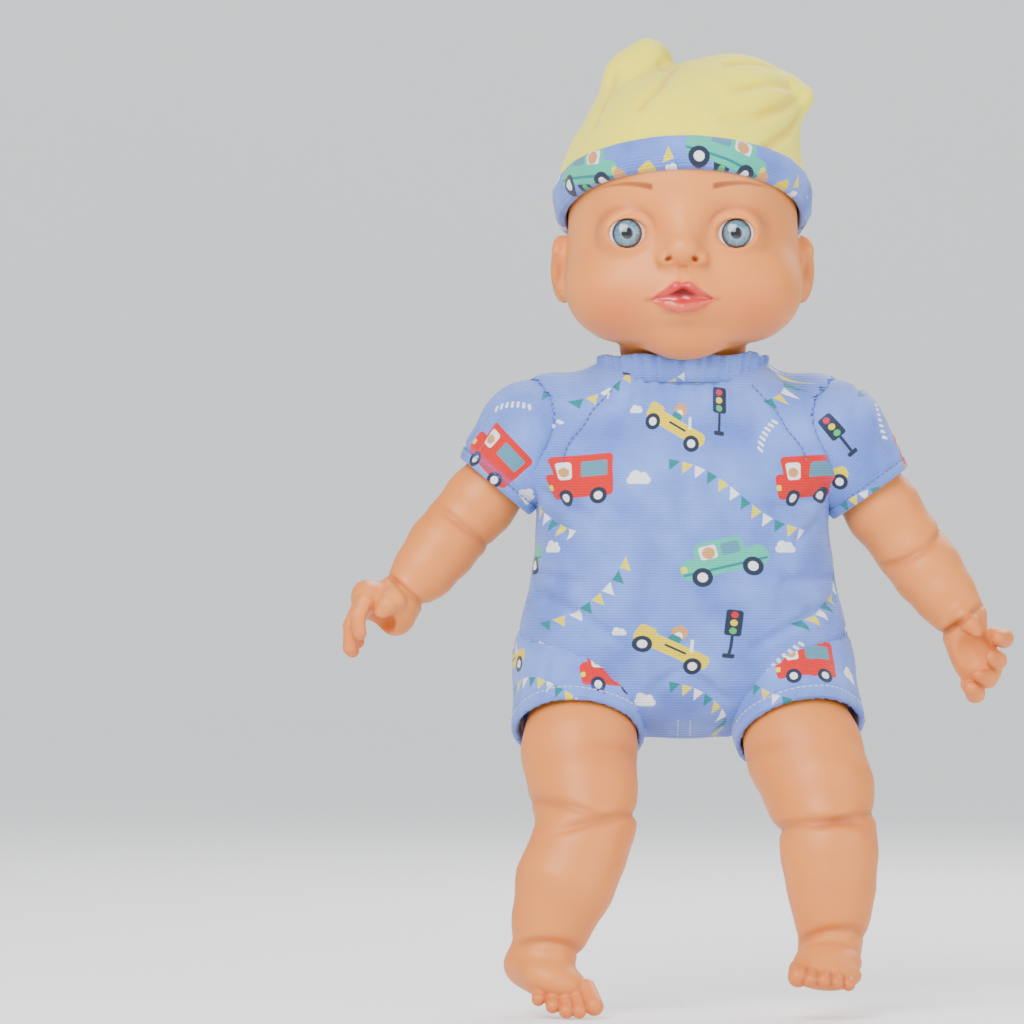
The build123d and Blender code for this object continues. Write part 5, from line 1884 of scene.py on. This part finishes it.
@dataclass(frozen=True)
class MetalFinish:
    """Plated or tinned metal with fine scratches."""

    name: str
    colour: Colour = (0.62, 0.62, 0.60)
    roughness: float = 0.3

    def build(self) -> bpy.types.Material:
        """Make the material."""
        material, paper, shader = dressed(self.name, Gloss(self.roughness, metallic=1.0))
        inputs = {"Vector": paper.place(), "Scale": (1.0, 14.0, 1.0)}
        stretched = paper.node("ShaderNodeMapping", inputs).outputs[0]
        scratch = paper.noise(stretched, 700.0, 3.0)
        darker = tuple(0.7 * c for c in self.colour)
        colour = paper.mix(paper.ramp(scratch, 0.4, 0.7), self.colour, darker)
        roughness = paper.ramp(scratch, 0.3, 0.7, self.roughness, self.roughness + 0.2)
        paper.coat(shader, colour, roughness, paper.bump(scratch, 0.00002, 0.4))
        return material


@dataclass(frozen=True)
class ClothFinish:
    """Woven lining, tape, strap or loose fibre."""

    name: str
    colour: Colour
    pitch: float = 0.0006
    depth: float = 0.00006

    def build(self) -> bpy.types.Material:
        """Make the material."""
        material, paper, shader = dressed(self.name, Gloss(0.85, specular=0.2, sheen=0.3))
        weave = paper.group(SHARED.weave, Pitch=self.pitch, Depth=self.depth)
        darker = tuple(0.7 * c for c in self.colour)
        # Painted shade: the colour is darker where the weave dips between threads.
        colour = paper.mix(paper.ramp(weave["Shade"], 0.2, 0.8), darker, self.colour)
        paper.coat(shader, colour, paper.group(SHARED.wear, Base=0.85, Spread=0.12)[0], weave["Normal"])
        return material


@dataclass(frozen=True)
class ThreadFinish:
    """Twisted sewing thread."""

    name: str
    colour: Colour

    def build(self) -> bpy.types.Material:
        """Make the material."""
        material, paper, shader = dressed(self.name, Gloss(0.55, specular=0.3, sheen=0.2))
        twist = paper.node("ShaderNodeTexWave", {"Vector": paper.place(), "Scale": 900.0, "Distortion": 2.0},
                           bands_direction="DIAGONAL").outputs["Fac"]
        darker = tuple(0.65 * c for c in self.colour)
        wear = paper.group(SHARED.wear, Base=0.55, Spread=0.1)[0]
        paper.coat(shader, paper.mix(twist, darker, self.colour), wear)
        return material


@dataclass
class CarriedParts:
    """CAD nodes that keep their own shape and get a better finish."""

    finishes: tuple[tuple[object, tuple[str, ...]], ...] = (
        (ClothFinish("lining_cloth", (0.62, 0.60, 0.56)),
         ("neck_cloth", "torso_cover", "arm_stub", "leg_stub")),
        (ClothFinish("fill_fibre", (0.82, 0.82, 0.80), 0.0017, 0.0002), ("stuffing",)),
        (SolidFinish("tie_nylon", (0.74, 0.73, 0.70), 0.4), ("_tie",)),
        (ClothFinish("closure_tape", (0.66, 0.72, 0.86), 0.0009, 0.00018), ("_strip",)),
        (SolidFinish("case_plastic", (0.66, 0.68, 0.70), 0.42), ("_case", "battery_door")),
        (SolidFinish("button_plastic", (0.70, 0.06, 0.05), 0.35), ("press_button",)),
        (SolidFinish("knob_plastic", (0.03, 0.03, 0.035), 0.5), ("switch_knob", "tact_switch")),
        (SolidFinish("board_green", (0.02, 0.17, 0.06), 0.3), ("circuit_board",)),
        (SolidFinish("chip_resin", (0.02, 0.02, 0.022), 0.55), ("sound_chip",)),
        (SolidFinish("foam_black", (0.03, 0.03, 0.032), 0.9, 0.0002), ("speaker_foam",)),
        (MetalFinish("speaker_metal", (0.42, 0.43, 0.44), 0.38), ("speaker",)),
        (MetalFinish("cell_steel", (0.66, 0.65, 0.62), 0.28), ("battery_cell", "battery_contacts")),
        (MetalFinish("screw_steel", (0.55, 0.55, 0.56), 0.35), ("screw",)))

    def dress(self, nodes: dict[str, bpy.types.Object]) -> None:
        """Give each node the last finish whose word is in its name."""
        made = {finish.name: finish.build() for finish, _ in self.finishes}
        for name, node in nodes.items():
            fitting = [finish.name for finish, words in self.finishes if any(word in name for word in words)]
            if not fitting:
                continue
            node.data.materials.clear()
            node.data.materials.append(made[fitting[-1]])
        LOG.info("finishes on %d carried nodes", len(nodes))


# ---------------------------------------------------------------- studio
@dataclass(frozen=True)
class Softbox:
    """A rectangular studio light: where it is and what it faces, in doll millimetres."""

    name: str
    place: tuple[float, float, float]
    aim: tuple[float, float, float]
    size: float
    power: float
    colour: Colour = (1.0, 1.0, 1.0)

    def hang(self) -> bpy.types.Object:
        """Put the light in the scene."""
        lamp = bpy.data.lights.new(self.name, "AREA")
        lamp.shape = "SQUARE"
        lamp.size = self.size
        lamp.energy = self.power
        lamp.color = self.colour
        light = bpy.data.objects.new(self.name, lamp)
        start, stop = Vector(metres(self.place)), Vector(metres(self.aim))
        light.location = start
        light.rotation_euler = (stop - start).to_track_quat("-Z", "Y").to_euler()
        bpy.context.scene.collection.objects.link(light)
        return light


@dataclass
class Studio:
    """Pale sweep, soft lights and the camera."""

    lens: float = 253.2
    distance: float = 2600.0
    aim: tuple[float, float] = (-62.1, 179.8)

    def build(self) -> None:
        """Set everything up."""
        self.floor()
        [box.hang() for box in self.lights()]
        self.world()
        self.camera()

    @staticmethod
    def lights() -> tuple[Softbox, ...]:
        """A broad key high at the front, a fill at the doll's left and a rim from behind."""
        target = (0.0, 0.0, 190.0)
        return (
            Softbox("key_light", (-420.0, -900.0, 900.0), target, 0.9, 25.0, (1.0, 0.985, 0.96)),
            Softbox("fill_light", (900.0, -700.0, 420.0), target, 1.1, 9.0, (0.96, 0.98, 1.0)),
            Softbox("rim_light", (300.0, 800.0, 900.0), target, 0.8, 12.0))

    @staticmethod
    def floor() -> bpy.types.Object:
        """Round floor that curves up into a backdrop on every side."""
        flat, curve, top = 4600.0, 1200.0, 3000.0
        profile = [(1.0, 0.0), (1500.0, 0.0), (flat, 0.0)]
        profile += [(flat + curve * math.sin(a), curve - curve * math.cos(a))
                    for a in np.linspace(0.1, math.pi / 2, 12)]
        profile += [(flat + curve, top)]
        n = 96
        turns = [2 * math.pi * k / n for k in range(n)]
        points = [(r * math.cos(a), r * math.sin(a), z) for r, z in profile for a in turns]
        sweep = new_piece("studio_sweep", np.array(points), [*ring_faces(len(profile), n), tuple(range(n))])
        material, paper, shader = dressed("sweep_paper", Gloss(0.8, specular=0.2))
        shader.inputs["Emission Color"].default_value = (0.95, 0.97, 1.0, 1.0)
        seen = paper.node("ShaderNodeLightPath").outputs["Is Camera Ray"]
        paper.feed(shader.inputs["Emission Strength"], paper.ramp(seen, 0.0, 1.0, 0.28, 0.62))
        cloud = paper.noise(paper.place(), 3.0, 2.0)
        paper.feed(shader.inputs["Base Color"], paper.mix(cloud, (0.70, 0.70, 0.70), (0.74, 0.74, 0.74)))
        sweep.data.materials.append(material)
        return sweep

    @staticmethod
    def world() -> None:
        """Even pale surroundings."""
        world = bpy.data.worlds.new("studio")
        world.use_nodes = True
        ground = world.node_tree.nodes["Background"]
        ground.inputs["Color"].default_value = (0.93, 0.96, 1.0, 1.0)
        ground.inputs["Strength"].default_value = 0.45
        bpy.context.scene.world = world

    def camera(self) -> None:
        """A long lens, level, straight at the doll's front."""
        lens = bpy.data.cameras.new("camera")
        lens.lens = self.lens
        lens.sensor_width = 36.0
        lens.clip_end = 20.0
        camera = bpy.data.objects.new("camera", lens)
        camera.location = Vector(metres((self.aim[0], -20.0 - self.distance, self.aim[1])))
        camera.rotation_euler = (math.pi / 2, 0.0, 0.0)
        bpy.context.scene.collection.objects.link(camera)
        bpy.context.scene.camera = camera


def main() -> None:
    """Build every piece on the frame and set up the studio."""
    logging.basicConfig(level=logging.INFO, format="%(name)s: %(message)s")
    stitcher = Stitcher()
    head = Head()
    head.build()
    Eyes(head).build()
    limb_vinyl = LimbFinish("limb_vinyl").build()
    for limb in (right_arm(), left_arm(), right_leg(), left_leg()):
        limb.build(limb_vinyl)
    Romper(stitcher).build()
    Hat().build()
    stitcher.finish({"navy": ThreadFinish("navy_thread", (0.10, 0.16, 0.42)).build(),
                     "white": ThreadFinish("pale_thread", (0.62, 0.70, 0.86)).build()})
    CarriedParts().dress(frame["nodes"])
    Studio().build()


if __name__ == "__main__":
    main()
